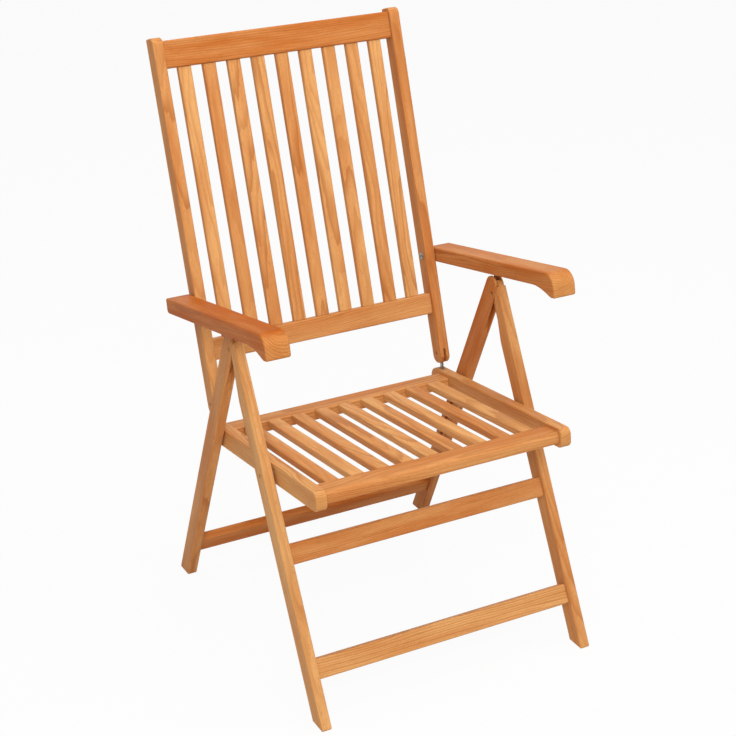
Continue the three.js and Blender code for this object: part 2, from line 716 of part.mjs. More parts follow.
function armShape() {
  const shape = new THREE.Shape();
  const tip = -arm_length;
  const sweep_end = tip + nose_foot;
  const sweep_start = sweep_end + nose_sweep;
  const low = -arm_half - nose_drop;
  shape.moveTo(arm_tail, arm_half - eased_edge);
  shape.lineTo(arm_tail - eased_edge, arm_half);
  shape.lineTo(tip + nose_top_round, arm_half);
  shape.absarc(tip + nose_top_round, arm_half - nose_top_round, nose_top_round, Math.PI / 2, Math.PI, false);
  shape.absarc(tip + nose_foot_round, low + nose_foot_round, nose_foot_round, Math.PI, Math.PI * 1.5, false);
  shape.lineTo(sweep_end, low);
  shape.bezierCurveTo(
    sweep_end + nose_sweep * nose_foot_shares[0], low + nose_drop * nose_foot_shares[1],
    sweep_start - nose_sweep * nose_root_share, -arm_half,
    sweep_start, -arm_half,
  );
  const t = arm_tail_round;
  shape.absarc(arm_tail - t, -arm_half + t, t, -Math.PI / 2, 0, false);
  return shape;
}

// Armrests, each with its notched rack let flush into the underside
function arms() {
  const group = new THREE.Group();
  group.position.set(0, arm_bolt.x, arm_bolt.y);
  group.rotation.x = -arm_slope;

  const rods = Array.from({ length: notch_count }, (_, index) => (
    rodInArm(recline_limit * index / (notch_count - 1))
  ));
  const rack_rear = rods[0].x + rack_end;
  const rack_front = rods[notch_count - 1].x - rack_end;
  const rack_top = -arm_half + rack_let_in;
  const groove = rack_thickness / 2 + joint_gap;
  const arm = carve(sideBoard(armShape(), arm_inner, arm_width, eased_edge), [
    block([leg_middle - groove, leg_middle + groove], [rack_front - joint_gap, rack_rear + joint_gap],
      [-arm_half - overrun, rack_top + joint_gap]),
    crossPin(arm_bolt_radius + joint_gap, arm_inner - overrun, arm_inner + arm_bolt_depth + joint_gap, 0, 0),
  ]);
  placePair(group, 'armrest', arm, teak);

  const bar = block([leg_middle - rack_thickness / 2, leg_middle + rack_thickness / 2],
    [rack_front, rack_rear], [-arm_half, rack_top]);
  const notches = rods.map((rod) => (
    crossPin(notch_radius, leg_middle - rack_thickness, leg_middle + rack_thickness, rod.x, -arm_half)
  ));
  placePair(group, 'arm_rack', carve(bar, notches), () => metal(bronze_tone));
  return group;
}

// The chair, set down with the middle of its outline over the origin
const chair = new THREE.Group();
chair.add(frontLegs(), rearLegs(), seat(), hingePins(), back(), armBolts(), arms());
chair.updateMatrixWorld(true);
const bounds = new THREE.Box3().setFromObject(chair, true);
chair.position.y = -(bounds.min.y + bounds.max.y) / 2;

export default chair;
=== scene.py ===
"""Folding teak armchair with a high slatted back, shown as in its photograph.

Boards are drawn in millimetres in the side view of their assembly (X across, rear, up), cut like joinery,
and then carried into the shared frame in metres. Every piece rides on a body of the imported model.
"""

import json
import logging
import math
from dataclasses import dataclass, field
from enum import Enum
from typing import Iterable, Sequence

import bmesh
import bpy
from mathutils import Matrix, Vector


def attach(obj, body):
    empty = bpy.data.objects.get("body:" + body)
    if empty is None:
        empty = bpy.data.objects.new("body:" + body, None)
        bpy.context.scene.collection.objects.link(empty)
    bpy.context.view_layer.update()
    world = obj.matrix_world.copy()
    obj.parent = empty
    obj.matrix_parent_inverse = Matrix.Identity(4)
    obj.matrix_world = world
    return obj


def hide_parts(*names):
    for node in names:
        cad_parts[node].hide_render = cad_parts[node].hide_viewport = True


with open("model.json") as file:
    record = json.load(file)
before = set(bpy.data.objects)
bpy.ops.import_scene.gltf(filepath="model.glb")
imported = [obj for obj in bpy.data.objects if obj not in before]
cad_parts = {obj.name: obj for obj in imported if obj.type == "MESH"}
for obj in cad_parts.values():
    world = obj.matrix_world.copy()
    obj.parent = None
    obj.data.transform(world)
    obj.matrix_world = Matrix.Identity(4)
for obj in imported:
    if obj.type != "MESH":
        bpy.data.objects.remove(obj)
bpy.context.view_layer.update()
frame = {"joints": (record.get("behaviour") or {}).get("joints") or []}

logging.basicConfig(level=logging.INFO, format="%(levelname)s %(message)s")
log = logging.getLogger("armchair")

MM = 0.001
ARC_STEP = math.radians(7.5)
CURVE_STEPS = 18
# An edge that bends more is shown sharp, and at the end faces of a board it is rounded
SHARP_ANGLE = math.radians(32)
RIM_ANGLE = math.radians(60)
# Points closer than this, and radii smaller than this, are one point, in millimetres
SAME_POINT = 1e-3
NO_RADIUS = 1e-6
# Share of half its width that a half-round end is rounded by: its two roundings must not quite meet
HALF_ROUND = 0.9999
# Share of a rounding at which the middle of its quarter circle lies
KNEE = 0.3
# Spreads the boards' own numbers evenly over 0 to 1
GOLDEN_SHARE = 0.6180339887
WHITE = (1.0, 1.0, 1.0, 1.0)
NUMBER = "NodeSocketFloat"
VECTOR = "NodeSocketVector"
GEOMETRY = "NodeSocketGeometry"
Point = tuple[float, float]
Span = tuple[float, float]
Triple = tuple[float, float, float]


class Look(Enum):
    """Finishes of the pieces."""

    TEAK = "teak"
    STEEL = "steel"
    # Dark steel: partly the steel's own oxide, partly painted shade of the recesses that the pin ends sit in
    OXIDE_AND_SHADE = "blackened"
    BRONZE = "bronze"

    @property
    def slot(self) -> str:
        """Gives the material slot of the record that the finish belongs to."""
        return "steel" if self is Look.OXIDE_AND_SHADE else self.value


class Grain(Enum):
    """Direction of the grain in the side view: the value is the index of that coordinate."""

    ACROSS = 0
    REAR = 1
    UP = 2


@dataclass(frozen=True)
class Board:
    """How a board was sawn, and how deep its tone is, from 0 to 1, on each side of the chair."""

    grain: Grain
    left_tone: float = 0.35
    right_tone: float = 0.35


class Graph:
    """Adds nodes to one tree and joins them."""

    def __init__(self, tree: bpy.types.NodeTree) -> None:
        """Takes the shader or geometry node tree to fill."""
        self.tree = tree

    def add(self, kind: str, inputs: dict | None = None, **settings: object) -> bpy.types.Node:
        """Adds one node.

        Args:
            kind: Blender's identifier of the node type.
            inputs: values, or sockets to link from, by input name or index.
            settings: properties of the node itself.

        Returns:
            The new node.
        """
        node = self.tree.nodes.new(kind)
        for name, value in settings.items():
            setattr(node, name, value)
        for socket, value in (inputs or {}).items():
            if isinstance(value, bpy.types.NodeSocket):
                self.tree.links.new(value, node.inputs[socket])
            else:
                node.inputs[socket].default_value = value
        return node

    def math(self, operation: str, *values: object, clamp: bool = False) -> bpy.types.NodeSocket:
        """Adds a Math node on numbers or sockets and gives its result, kept within 0 and 1 if clamped."""
        node = self.add("ShaderNodeMath", dict(enumerate(values)), operation=operation, use_clamp=clamp)
        return node.outputs[0]

    def vector(self, operation: str, *values: object) -> bpy.types.NodeSocket:
        """Adds a Vector Math node and gives its result, a number for LENGTH and DOT_PRODUCT."""
        node = self.add("ShaderNodeVectorMath", dict(enumerate(values)), operation=operation)
        return node.outputs[1 if operation in ("LENGTH", "DOT_PRODUCT") else 0]

    def ramp(
        self, value: object, low: float, high: float, start: float = 0.0, end: float = 1.0,
    ) -> bpy.types.NodeSocket:
        """Adds a smooth Map Range, which turns low..high into start..end, and gives its result."""
        inputs = {"Value": value, "From Min": low, "From Max": high, "To Min": start, "To Max": end}
        return self.add("ShaderNodeMapRange", inputs, interpolation_type="SMOOTHSTEP").outputs[0]

    def noise(
        self, place: object, stretch: Triple, detail: float = 2.0, roughness: float = 0.5,
    ) -> bpy.types.Node:
        """Adds a noise texture.

        Args:
            place: vector socket.
            stretch: waves per unit along each axis.
            detail: number of octaves.
            roughness: weight of the finer octaves.

        Returns:
            The noise node, with the value and the colour as outputs.
        """
        scaled = self.vector("MULTIPLY", place, stretch)
        inputs = {"Vector": scaled, "Scale": 1.0, "Detail": detail, "Roughness": roughness}
        return self.add("ShaderNodeTexNoise", inputs)

    def mix(self, factor: object, first: object, second: object) -> bpy.types.NodeSocket:
        """Adds a mix of two colours or colour sockets, where factor is the share of the second."""
        return self.add("ShaderNodeMix", {0: factor, 6: first, 7: second}, data_type="RGBA").outputs[2]

    def cover(self, under: object, mask: object, share: float, tone: Triple) -> bpy.types.NodeSocket:
        """Lays a tone, as seen on a screen, over a colour: where the mask is 1, it covers by share."""
        return self.mix(self.math("MULTIPLY", mask, share), under, linear(*tone))

    def surface(self, colour: object, rough: object, bump: dict, plain: dict) -> None:
        """Ends a material with its bump, its shader and its output.

        Args:
            colour: socket of the base colour.
            rough: socket of the roughness.
            bump: inputs of the bump node.
            plain: inputs of the shader that are the same all over.
        """
        raised = self.add("ShaderNodeBump", bump)
        inputs = {"Base Color": colour, "Roughness": rough, "Normal": raised.outputs[0], **plain}
        shader = self.add("ShaderNodeBsdfPrincipled", inputs)
        self.add("ShaderNodeOutputMaterial", {"Surface": shader.outputs[0]})

    def give(self, result: bpy.types.Node, sockets: dict) -> bpy.types.NodeTree:
        """Links what a node group gives out.

        Args:
            result: output node of the group.
            sockets: socket by the name of the output.

        Returns:
            The group's tree.
        """
        for name, socket in sockets.items():
            self.tree.links.new(socket, result.inputs[name])
        return self.tree


def linear(red: float, green: float, blue: float) -> tuple[float, float, float, float]:
    """Turns a colour as seen on a screen into the linear one that shaders take, with alpha 1."""
    values = [c / 12.92 if c <= 0.04045 else ((c + 0.055) / 1.055) ** 2.4 for c in (red, green, blue)]
    return (values[0], values[1], values[2], 1.0)


def new_group(
    name: str, kind: str, inputs: dict[str, str], outputs: dict[str, str],
) -> tuple[Graph, bpy.types.Node, bpy.types.Node]:
    """Makes a node group with named sockets.

    Args:
        name: name of the group.
        kind: tree type.
        inputs: socket type by input name.
        outputs: socket type by output name.

    Returns:
        The graph of the group, its input node and its output node.
    """
    tree = bpy.data.node_groups.new(name, kind)
    for label, socket_type in inputs.items():
        tree.interface.new_socket(name=label, in_out="INPUT", socket_type=socket_type)
    for label, socket_type in outputs.items():
        tree.interface.new_socket(name=label, in_out="OUTPUT", socket_type=socket_type)
    graph = Graph(tree)
    return graph, graph.add("NodeGroupInput"), graph.add("NodeGroupOutput")


def fresh_graph(owner: bpy.types.Material | bpy.types.World) -> Graph:
    """Turns on the nodes of a material or world and empties its tree.

    Args:
        owner: the material or world.

    Returns:
        The graph of its tree.
    """
    owner.use_nodes = True
    owner.node_tree.nodes.clear()
    return Graph(owner.node_tree)


@dataclass(frozen=True)
class TeakGrain:
    """Pattern of sawn teak. Its stretches are in waves per metre: across, across and along the grain."""

    wander: Triple = (14.0, 14.0, 2.6)
    ripple: Triple = (190.0, 190.0, 9.0)
    fibre: Triple = (1100.0, 1100.0, 26.0)
    pore: Triple = (2100.0, 2100.0, 110.0)
    drift: Triple = (34.0, 34.0, 4.5)
    bend: Triple = (0.03, 0.03, 0.0)
    shift: float = 9.0
    pith_slope: float = 0.04
    pith_side: float = 0.03
    pith_depth: Span = (0.03, 0.10)
    spacing_share: Span = (0.6, 1.15)
    ripple_share: float = 0.7
    ring_rise: Span = (0.30, 0.93)
    ring_fall: Span = (0.94, 1.0)
    faintest_ring: float = 0.35
    fibre_range: Span = (0.32, 0.68)
    pore_range: Span = (0.60, 0.70)
    pore_place: Span = (0.75, 0.2)
    drift_range: Span = (0.28, 0.72)
    ring_height: float = 0.45
    fibre_height: float = 0.35
    ground_height: float = 0.2
    pore_depth: float = 0.5

    def group(self) -> bpy.types.NodeTree:
        """Makes the node group: growth rings round a pith, fibres, pores and slow colour drift.

        Returns:
            Group with the outputs Rings, Fibres, Pores, Drift and Height, all 0 to 1.
        """
        graph, given, result = new_group(
            "teak grain",
            "ShaderNodeTree",
            {"Place": VECTOR, "Board": NUMBER, "Ring Spacing": NUMBER},
            dict.fromkeys(("Rings", "Fibres", "Pores", "Drift", "Height"), NUMBER),
        )
        place = given.outputs["Place"]

        def pick(factor: float, low: float, high: float) -> bpy.types.NodeSocket:
            """Gives the board's own number from low to high; the factor only tells the numbers apart."""
            own = graph.math("FRACT", graph.math("MULTIPLY", given.outputs["Board"], factor))
            return graph.math("MULTIPLY_ADD", own, high - low, low)

        # Each board is cut from another part of the tree
        shifts = {axis: pick(factor, 0.0, self.shift) for axis, factor in enumerate((13.7, 29.3, 5.9))}
        cut = graph.vector("ADD", place, graph.add("ShaderNodeCombineXYZ", shifts).outputs[0])
        wander = graph.noise(cut, self.wander).outputs[1]
        bend = graph.vector("MULTIPLY", graph.vector("SUBTRACT", wander, (0.5, 0.5, 0.5)), self.bend)

        # Rings are cylinders about a pith that runs out of line with the board
        along = graph.add("ShaderNodeSeparateXYZ", {0: place}).outputs[2]
        slope, side = self.pith_slope, self.pith_side
        pith_x = graph.math("MULTIPLY_ADD", along, pick(47.1, -slope, slope), pick(17.3, -side, side))
        pith_y = graph.math("MULTIPLY_ADD", along, pick(61.9, -slope, slope), pick(7.9, *self.pith_depth))
        pith = graph.add("ShaderNodeCombineXYZ", {0: pith_x, 1: pith_y, 2: along})
        radial = graph.vector("ADD", graph.vector("SUBTRACT", place, pith.outputs[0]), bend)
        spacing = graph.math("MULTIPLY", given.outputs["Ring Spacing"], pick(3.7, *self.spacing_share))
        ring = graph.math("DIVIDE", graph.vector("LENGTH", radial), spacing)
        ripple = graph.noise(cut, self.ripple).outputs[0]
        ring = graph.math("MULTIPLY_ADD", ripple, self.ripple_share, ring)
        share = graph.math("FRACT", ring)
        fall = graph.ramp(share, *self.ring_fall, 1.0, 0.0)
        line = graph.math("MULTIPLY", graph.ramp(share, *self.ring_rise), fall)
        which = graph.add("ShaderNodeTexWhiteNoise", {"W": graph.math("FLOOR", ring)}, noise_dimensions="1D")
        strength = graph.ramp(which.outputs[0], 0.0, 1.0, self.faintest_ring, 1.0)
        rings = graph.math("MULTIPLY", line, strength)

        fibres = graph.noise(cut, self.fibre, detail=4.0, roughness=0.62).outputs[0]
        fibres = graph.ramp(fibres, *self.fibre_range)
        pores = graph.noise(cut, self.pore, detail=1.0).outputs[0]
        pores = graph.math("MULTIPLY", graph.ramp(pores, *self.pore_range), graph.ramp(share, *self.pore_place))
        drift = graph.noise(cut, self.drift, detail=3.0, roughness=0.55).outputs[0]
        drift = graph.ramp(drift, *self.drift_range)

        raised = graph.math("MULTIPLY", fibres, self.fibre_height)
        raised = graph.math("MULTIPLY_ADD", rings, self.ring_height, raised)
        raised = graph.math("ADD", raised, self.ground_height)
        fallen = graph.math("MULTIPLY", pores, self.pore_depth)
        height = graph.math("SUBTRACT", raised, fallen, clamp=True)
        found = {"Rings": rings, "Fibres": fibres, "Pores": pores, "Drift": drift, "Height": height}
        return graph.give(result, found)


@dataclass(frozen=True)
class EdgeWearAndShade:
    """Edges, softened, with a mask in patches: on teak it lays painted shade along the rounded edges, on metal
    it marks rubbed wear. The patches' stretch is in waves per metre.
    """

    samples: int = 6
    rim: Span = (0.995, 0.80)
    patch: Triple = (160.0, 160.0, 45.0)
    patch_range: Span = (0.35, 0.62)

    def group(self) -> bpy.types.NodeTree:
        """Makes the node group.

        Returns:
            Group with the edge mask, 0 to 1, as its first output, and Normal.
        """
        graph, given, result = new_group(
            "edge wear",
            "ShaderNodeTree",
            {"Place": VECTOR, "Radius": NUMBER},
            {"Wear": NUMBER, "Normal": VECTOR},
        )
        rounded = graph.add("ShaderNodeBevel", {"Radius": given.outputs["Radius"]}, samples=self.samples)
        normal = graph.add("ShaderNodeNewGeometry").outputs["Normal"]
        # The rim mask is laid as painted shade on teak and as rubbed wear on metal
        rim = graph.ramp(graph.vector("DOT_PRODUCT", rounded.outputs[0], normal), *self.rim)
        patches = graph.noise(given.outputs["Place"], self.patch, detail=3.0).outputs[0]
        wear_and_shade = graph.math("MULTIPLY", rim, graph.ramp(patches, *self.patch_range))
        return graph.give(result, {"Wear": wear_and_shade, "Normal": rounded.outputs[0]})


@dataclass(frozen=True)
class TeakFinish:
    """Oiled teak, satin, with warm tones that differ from board to board."""

    light: Triple = (0.885, 0.672, 0.430)
    deep: Triple = (0.710, 0.360, 0.080)
    ring_tone: Triple = (0.580, 0.290, 0.070)
    pore_tone: Triple = (0.380, 0.180, 0.050)
    # The edge tone is painted shade: a dark brown laid along the rounded edges, in patches
    edge_shade_tone: Triple = (0.560, 0.290, 0.100)
    end_tone: Triple = (0.840, 0.610, 0.360)
    ring_spacing: float = 0.0048
    ring_share: float = 0.52
    fibre_share: float = 0.18
    pore_share: float = 0.45
    drift_share: float = 0.40
    end_share: float = 0.55
    edge_shade_share: float = 0.45
    edge_radius: float = 0.0016
    roughness: float = 0.46
    fibre_roughness: float = 0.10
    ring_roughness: float = -0.06
    end_roughness: float = 0.16
    specular: float = 0.1
    bump: float = 0.55
    relief: float = 0.00018

    def material(self, grain: bpy.types.NodeTree, wear_and_shade: bpy.types.NodeTree) -> bpy.types.Material:
        """Makes the material, which reads the grain, board, tone and end attributes of each piece.

        Args:
            grain: node group of the teak grain.
            wear_and_shade: node group of the edges, whose mask lays painted shade along the teak's rounded
                edges.

        Returns:
            The teak material.
        """
        material = bpy.data.materials.new("oiled teak")
        graph = fresh_graph(material)
        place, board, depth, end = [
            graph.add("ShaderNodeAttribute", attribute_name=name).outputs[kind]
            for name, kind in (("grain", "Vector"), ("board", "Fac"), ("tone", "Fac"), ("end", "Fac"))
        ]
        settings = {"Place": place, "Board": board, "Ring Spacing": self.ring_spacing}
        wood = graph.add("ShaderNodeGroup", settings, node_tree=grain).outputs
        settings = {"Place": place, "Radius": self.edge_radius}
        edges = graph.add("ShaderNodeGroup", settings, node_tree=wear_and_shade).outputs

        tone = graph.math("SUBTRACT", depth, self.drift_share / 2)
        tone = graph.math("MULTIPLY_ADD", wood["Drift"], self.drift_share, tone, clamp=True)
        colour = graph.mix(tone, linear(*self.light), linear(*self.deep))
        # The edge mask lays painted shade along the rounded edges, in the edge tone
        for mask, share, cover in (
            (end, self.end_share, self.end_tone),
            (wood["Rings"], self.ring_share, self.ring_tone),
            (wood["Fibres"], self.fibre_share, self.ring_tone),
            (wood["Pores"], self.pore_share, self.pore_tone),
            (edges["Wear"], self.edge_shade_share, self.edge_shade_tone),
        ):
            colour = graph.cover(colour, mask, share, cover)

        rough = graph.math("MULTIPLY_ADD", wood["Fibres"], self.fibre_roughness, self.roughness)
        rough = graph.math("MULTIPLY_ADD", wood["Rings"], self.ring_roughness, rough)
        rough = graph.math("MULTIPLY_ADD", end, self.end_roughness, rough)
        bump = {"Strength": self.bump, "Distance": self.relief, "Height": wood["Height"]}
        bump["Normal"] = edges["Normal"]
        graph.surface(colour, rough, bump, {"Specular IOR Level": self.specular})
        return material


@dataclass(frozen=True)
class MetalFinish:
    """Metal with brush marks and tarnish in patches. Its stretches are in waves per metre."""

    name: str
    bright: Triple
    dull: Triple
    roughness: float
    tarnish: float
    rubbed: Triple = (0.78, 0.77, 0.75)
    rubbed_share: float = 0.5
    edge_radius: float = 0.0005
    brush: Triple = (700.0, 5200.0, 5200.0)
    spot: Triple = (240.0, 240.0, 240.0)
    spot_range: Span = (0.42, 0.66)
    brush_roughness: float = 0.16
    tarnish_roughness: float = 0.25
    bump: float = 0.35
    relief: float = 0.00004

    def material(self, wear_and_shade: bpy.types.NodeTree) -> bpy.types.Material:
        """Makes the material in object coordinates.

        Args:
            wear_and_shade: node group of the edges, whose mask marks rubbed wear on the metal's edges.

        Returns:
            The metal material.
        """
        material = bpy.data.materials.new(self.name)
        graph = fresh_graph(material)
        place = graph.add("ShaderNodeTexCoord").outputs["Object"]
        settings = {"Place": place, "Radius": self.edge_radius}
        edges = graph.add("ShaderNodeGroup", settings, node_tree=wear_and_shade).outputs
        brush = graph.noise(place, self.brush, detail=3.0, roughness=0.6).outputs[0]
        spots = graph.noise(place, self.spot, detail=4.0, roughness=0.6).outputs[0]
        patches = graph.math("MULTIPLY", graph.ramp(spots, *self.spot_range), self.tarnish)
        colour = graph.mix(patches, linear(*self.bright), linear(*self.dull))
        colour = graph.cover(colour, edges["Wear"], self.rubbed_share, self.rubbed)
        smoothest = self.roughness - self.brush_roughness / 2
        rough = graph.math("MULTIPLY_ADD", brush, self.brush_roughness, smoothest)
        rough = graph.math("MULTIPLY_ADD", patches, self.tarnish_roughness, rough, clamp=True)
        bump = {"Strength": self.bump, "Distance": self.relief, "Height": brush, "Normal": edges["Normal"]}
        graph.surface(colour, rough, bump, {"Metallic": 1.0})
        return material


METALS = {
    Look.STEEL: MetalFinish(
        "weathered steel", bright=(0.66, 0.65, 0.63), dull=(0.36, 0.33, 0.30), roughness=0.36, tarnish=0.8,
    ),
    # Dark steel of the sunk pins and bolts: partly their own oxide, partly painted shade of the recesses they
    # sit in
    Look.OXIDE_AND_SHADE: MetalFinish(
        "blackened steel", bright=(0.16, 0.13, 0.11), dull=(0.07, 0.05, 0.04), roughness=0.52, tarnish=0.9,
    ),
    Look.BRONZE: MetalFinish(
        "dark bronze", bright=(0.40, 0.29, 0.21), dull=(0.20, 0.13, 0.09), roughness=0.44, tarnish=0.9,
    ),
}


@dataclass
class Outline:
    """Outline of a board in the side view: points (rear, up), in millimetres, anticlockwise."""

    points: list[Point] = field(default_factory=list)

    def line(self, rear: float, up: float) -> "Outline":
        """Runs straight to a point and gives the outline itself."""
        self.points.append((rear, up))
        return self

    def arc(self, rear: float, up: float, radius: float, start: float, end: float) -> "Outline":
        """Runs to an arc and along it.

        Args:
            rear: rear coordinate of the middle.
            up: up coordinate of the middle.
            radius: radius of the arc.
            start: first angle in radians.
            end: last angle in radians, less than start on a clockwise arc.

        Returns:
            The outline itself.
        """
        steps = max(2, math.ceil(abs(end - start) / ARC_STEP))
        for step in range(steps + 1):
            angle = start + (end - start) * step / steps
            self.points.append((rear + radius * math.cos(angle), up + radius * math.sin(angle)))
        return self

    def bezier(self, first: Point, second: Point, last: Point) -> "Outline":
        """Runs along a cubic curve from the last point.

        Args:
            first: first control point.
            second: second control point.
            last: end point.

        Returns:
            The outline itself.
        """
        begin = self.points[-1]
        for step in range(1, CURVE_STEPS + 1):
            t = step / CURVE_STEPS
            shares = ((1 - t) ** 3, 3 * t * (1 - t) ** 2, 3 * t * t * (1 - t), t ** 3)
            corners = (begin, first, second, last)
            self.points.append((
                sum(s * c[0] for s, c in zip(shares, corners)),
                sum(s * c[1] for s, c in zip(shares, corners)),
            ))
        return self

    @classmethod
    def filleted(cls, corners: Sequence[tuple[float, float, float]]) -> "Outline":
        """Makes an outline from corners that are each rounded.

        Args:
            corners: rear, up and radius of each corner, anticlockwise.

        Returns:
            The outline.
        """
        made = cls()
        count = len(corners)
        for index, (rear, up, radius) in enumerate(corners):
            here = Vector((rear, up))
            before = Vector(corners[index - 1][:2]) - here
            after = Vector(corners[(index + 1) % count][:2]) - here
            before.normalize()
            after.normalize()
            half = before.angle(after) / 2
            middle = here + (before + after).normalized() * (radius / math.sin(half))
            start = here + before * (radius / math.tan(half)) - middle
            end = here + after * (radius / math.tan(half)) - middle
            first = math.atan2(start.y, start.x)
            sweep = (math.atan2(end.y, end.x) - first + math.pi) % (2 * math.pi) - math.pi
            made.arc(middle.x, middle.y, radius, first, first + sweep)
        return made

    def clean(self) -> list[Point]:
        """Drops points that repeat the one before.

        Returns:
            The points without repeats.
        """
        kept: list[Point] = []
        for point in self.points:
            if not kept or math.dist(point, kept[-1]) > SAME_POINT:
                kept.append(point)
        if math.dist(kept[0], kept[-1]) <= SAME_POINT:
            kept.pop()
        return kept


def to_mesh(work: bmesh.types.BMesh, name: str) -> bpy.types.Mesh:
    """Turns a working mesh into a mesh with outward normals and frees it.

    Args:
        work: the working mesh.
        name: name of the new mesh.

    Returns:
        The mesh.
    """
    bmesh.ops.recalc_face_normals(work, faces=work.faces)
    mesh = bpy.data.meshes.new(name)
    work.to_mesh(mesh)
    work.free()
    return mesh


def prism(outline: Outline, span: Span, edge: float = 0.0, segments: int = 4) -> bpy.types.Mesh:
    """Makes a board: the outline drawn out along X, with its rims rounded.

    Args:
        outline: outline in the side view.
        span: where the board starts and ends along X.
        edge: radius of the rounded rims, 0 for sharp ones.
        segments: facets across a rounded rim.

    Returns:
        The mesh in millimetres.
    """
    work = bmesh.new()
    points = outline.clean()
    near = [work.verts.new((span[0], rear, up)) for rear, up in points]
    far = [work.verts.new((span[1], rear, up)) for rear, up in points]
    work.faces.new(near)
    work.faces.new(list(reversed(far)))
    for index in range(len(points)):
        after = (index + 1) % len(points)
        work.faces.new((near[after], near[index], far[index], far[after]))
    bmesh.ops.recalc_face_normals(work, faces=work.faces)
    if edge > 0:
        rims = [e for e in work.edges if e.calc_face_angle(0.0) > RIM_ANGLE]
        bmesh.ops.bevel(
            work, geom=rims, offset=edge, offset_type="OFFSET", segments=segments, profile=0.5,
            affect="EDGES", clamp_overlap=False, miter_outer="SHARP",
        )
    return to_mesh(work, "board")


def rectangle(rear: Span, up: Span) -> list[Point]:
    """Gives the corners of a rectangle in the side view, anticlockwise."""
    return [(rear[0], up[0]), (rear[1], up[0]), (rear[1], up[1]), (rear[0], up[1])]


def box(x: Span, rear: Span, up: Span) -> bpy.types.Mesh:
    """Makes a plain cutter block, in millimetres, from its ranges across, to the rear and upwards."""
    return prism(Outline(rectangle(rear, up)), x)


def turned(profile: Sequence[Point], rear: float, up: float, sides: int = 40) -> bpy.types.Mesh:
    """Turns a profile about an axis that runs across the chair.

    Args:
        profile: points (x, radius); the first and last are closed with a flat disc or a point.
        rear: rear coordinate of the axis.
        up: up coordinate of the axis.
        sides: facets round the axis.

    Returns:
        The mesh in millimetres.
    """
    work = bmesh.new()
    rings: list[list[bmesh.types.BMVert]] = []
    for x, radius in profile:
        ring = []
        for side in range(sides if radius > NO_RADIUS else 1):
            angle = 2 * math.pi * side / sides
            ring.append(work.verts.new((x, rear + radius * math.cos(angle), up + radius * math.sin(angle))))
        rings.append(ring)
    for first, second in zip(rings, rings[1:]):
        for side in range(sides):
            corners = []
            for ring, index in ((first, side), (first, side + 1), (second, side + 1), (second, side)):
                corner = ring[index % len(ring)]
                if corner not in corners:
                    corners.append(corner)
            if len(corners) > 2:
                work.faces.new(corners)
    for ring in (rings[0], rings[-1]):
        if len(ring) > 1:
            work.faces.new(ring)
    return to_mesh(work, "turned")


def bore(radius: float, x: Span, rear: float, up: float) -> bpy.types.Mesh:
    """Makes the cutter of a round hole across the chair, about the axis at rear and up."""
    return turned([(x[0], radius), (x[1], radius)], rear, up)


def pin_profile(radius: float, x: Span, ease: float = 0.6) -> list[Point]:
    """Gives the profile of a plain pin with eased ends.

    Args:
        radius: radius of the pin.
        x: where the pin starts and ends.
        ease: size of the eased corner.

    Returns:
        Points (x, radius).
    """
    knee = ease * KNEE
    return [
        (x[0], 0.0),
        (x[0], radius - ease),
        (x[0] + knee, radius - knee),
        (x[0] + ease, radius),
        (x[1] - ease, radius),
        (x[1] - knee, radius - knee),
        (x[1], radius - ease),
        (x[1], 0.0),
    ]


def dome_profile(radius: float, height: float, face: float) -> list[Point]:
    """Gives the profile of a low domed head, from its top to the face that it lies on.

    Args:
        radius: radius of the head.
        height: height of the dome, which rises to lower x.
        face: x of that face.

    Returns:
        Points (x, radius).
    """
    wall, ease, steps = 0.42, 0.3, 8
    profile = [(face - height, 0.0)]
    for step in reversed(range(steps)):
        turn = math.pi / 2 * step / steps
        rise = height * (wall + (1 - wall) * math.sin(turn))
        profile.append((face - rise, radius * math.cos(turn)))
    return [*profile, (face - ease, radius), (face, radius - ease)]


def carve(mesh: bpy.types.Mesh, cutters: Iterable[bpy.types.Mesh]) -> bpy.types.Mesh:
    """Cuts shapes out of a mesh.

    Args:
        mesh: the mesh that is cut.
        cutters: the shapes taken away.

    Returns:
        The carved mesh.
    """
    scene = bpy.context.scene.collection
    target = bpy.data.objects.new("carving", mesh)
    scene.objects.link(target)
    tools = []
    for cutter in cutters:
        tool = bpy.data.objects.new("cutter", cutter)
        scene.objects.link(tool)
        tools.append(tool)
        step = target.modifiers.new("cut", "BOOLEAN")
        step.operation = "DIFFERENCE"
        step.solver = "MANIFOLD"
        step.object = tool
    depsgraph = bpy.context.evaluated_depsgraph_get()
    carved = bpy.data.meshes.new_from_object(target.evaluated_get(depsgraph))
    for tool in [target, *tools]:
        used = tool.data
        bpy.data.objects.remove(tool)
        bpy.data.meshes.remove(used)
    return carved


def mirrored(mesh: bpy.types.Mesh) -> bpy.types.Mesh:
    """Makes the same piece for the other side of the chair.

    Args:
        mesh: piece on the +X side.

    Returns:
        A new mesh on the -X side.
    """
    other = mesh.copy()
    other.transform(Matrix.Scale(-1.0, 4, (1.0, 0.0, 0.0)))
    other.flip_normals()
    return other


@dataclass(frozen=True)
class SidePlane:
    """Side view of one assembly: a pivot in the shared frame and a lean to the rear."""

    rear: float
    up: float
    lean: float

    @classmethod
    def at_joint(cls, joint: str, lean_degrees: float) -> "SidePlane":
        """Makes the plane whose pivot is a joint of the record, leaning to the rear."""
        found = next(j for j in frame["joints"] if j["name"] == joint)
        return cls(found["pos_m"][1], found["pos_m"][2], math.radians(lean_degrees))

    def matrix(self) -> Matrix:
        """Gives the way from the side view in millimetres to the shared frame in metres."""
        move = Matrix.Translation((0.0, self.rear, self.up))
        return move @ Matrix.Rotation(-self.lean, 4, "X") @ Matrix.Scale(MM, 4)


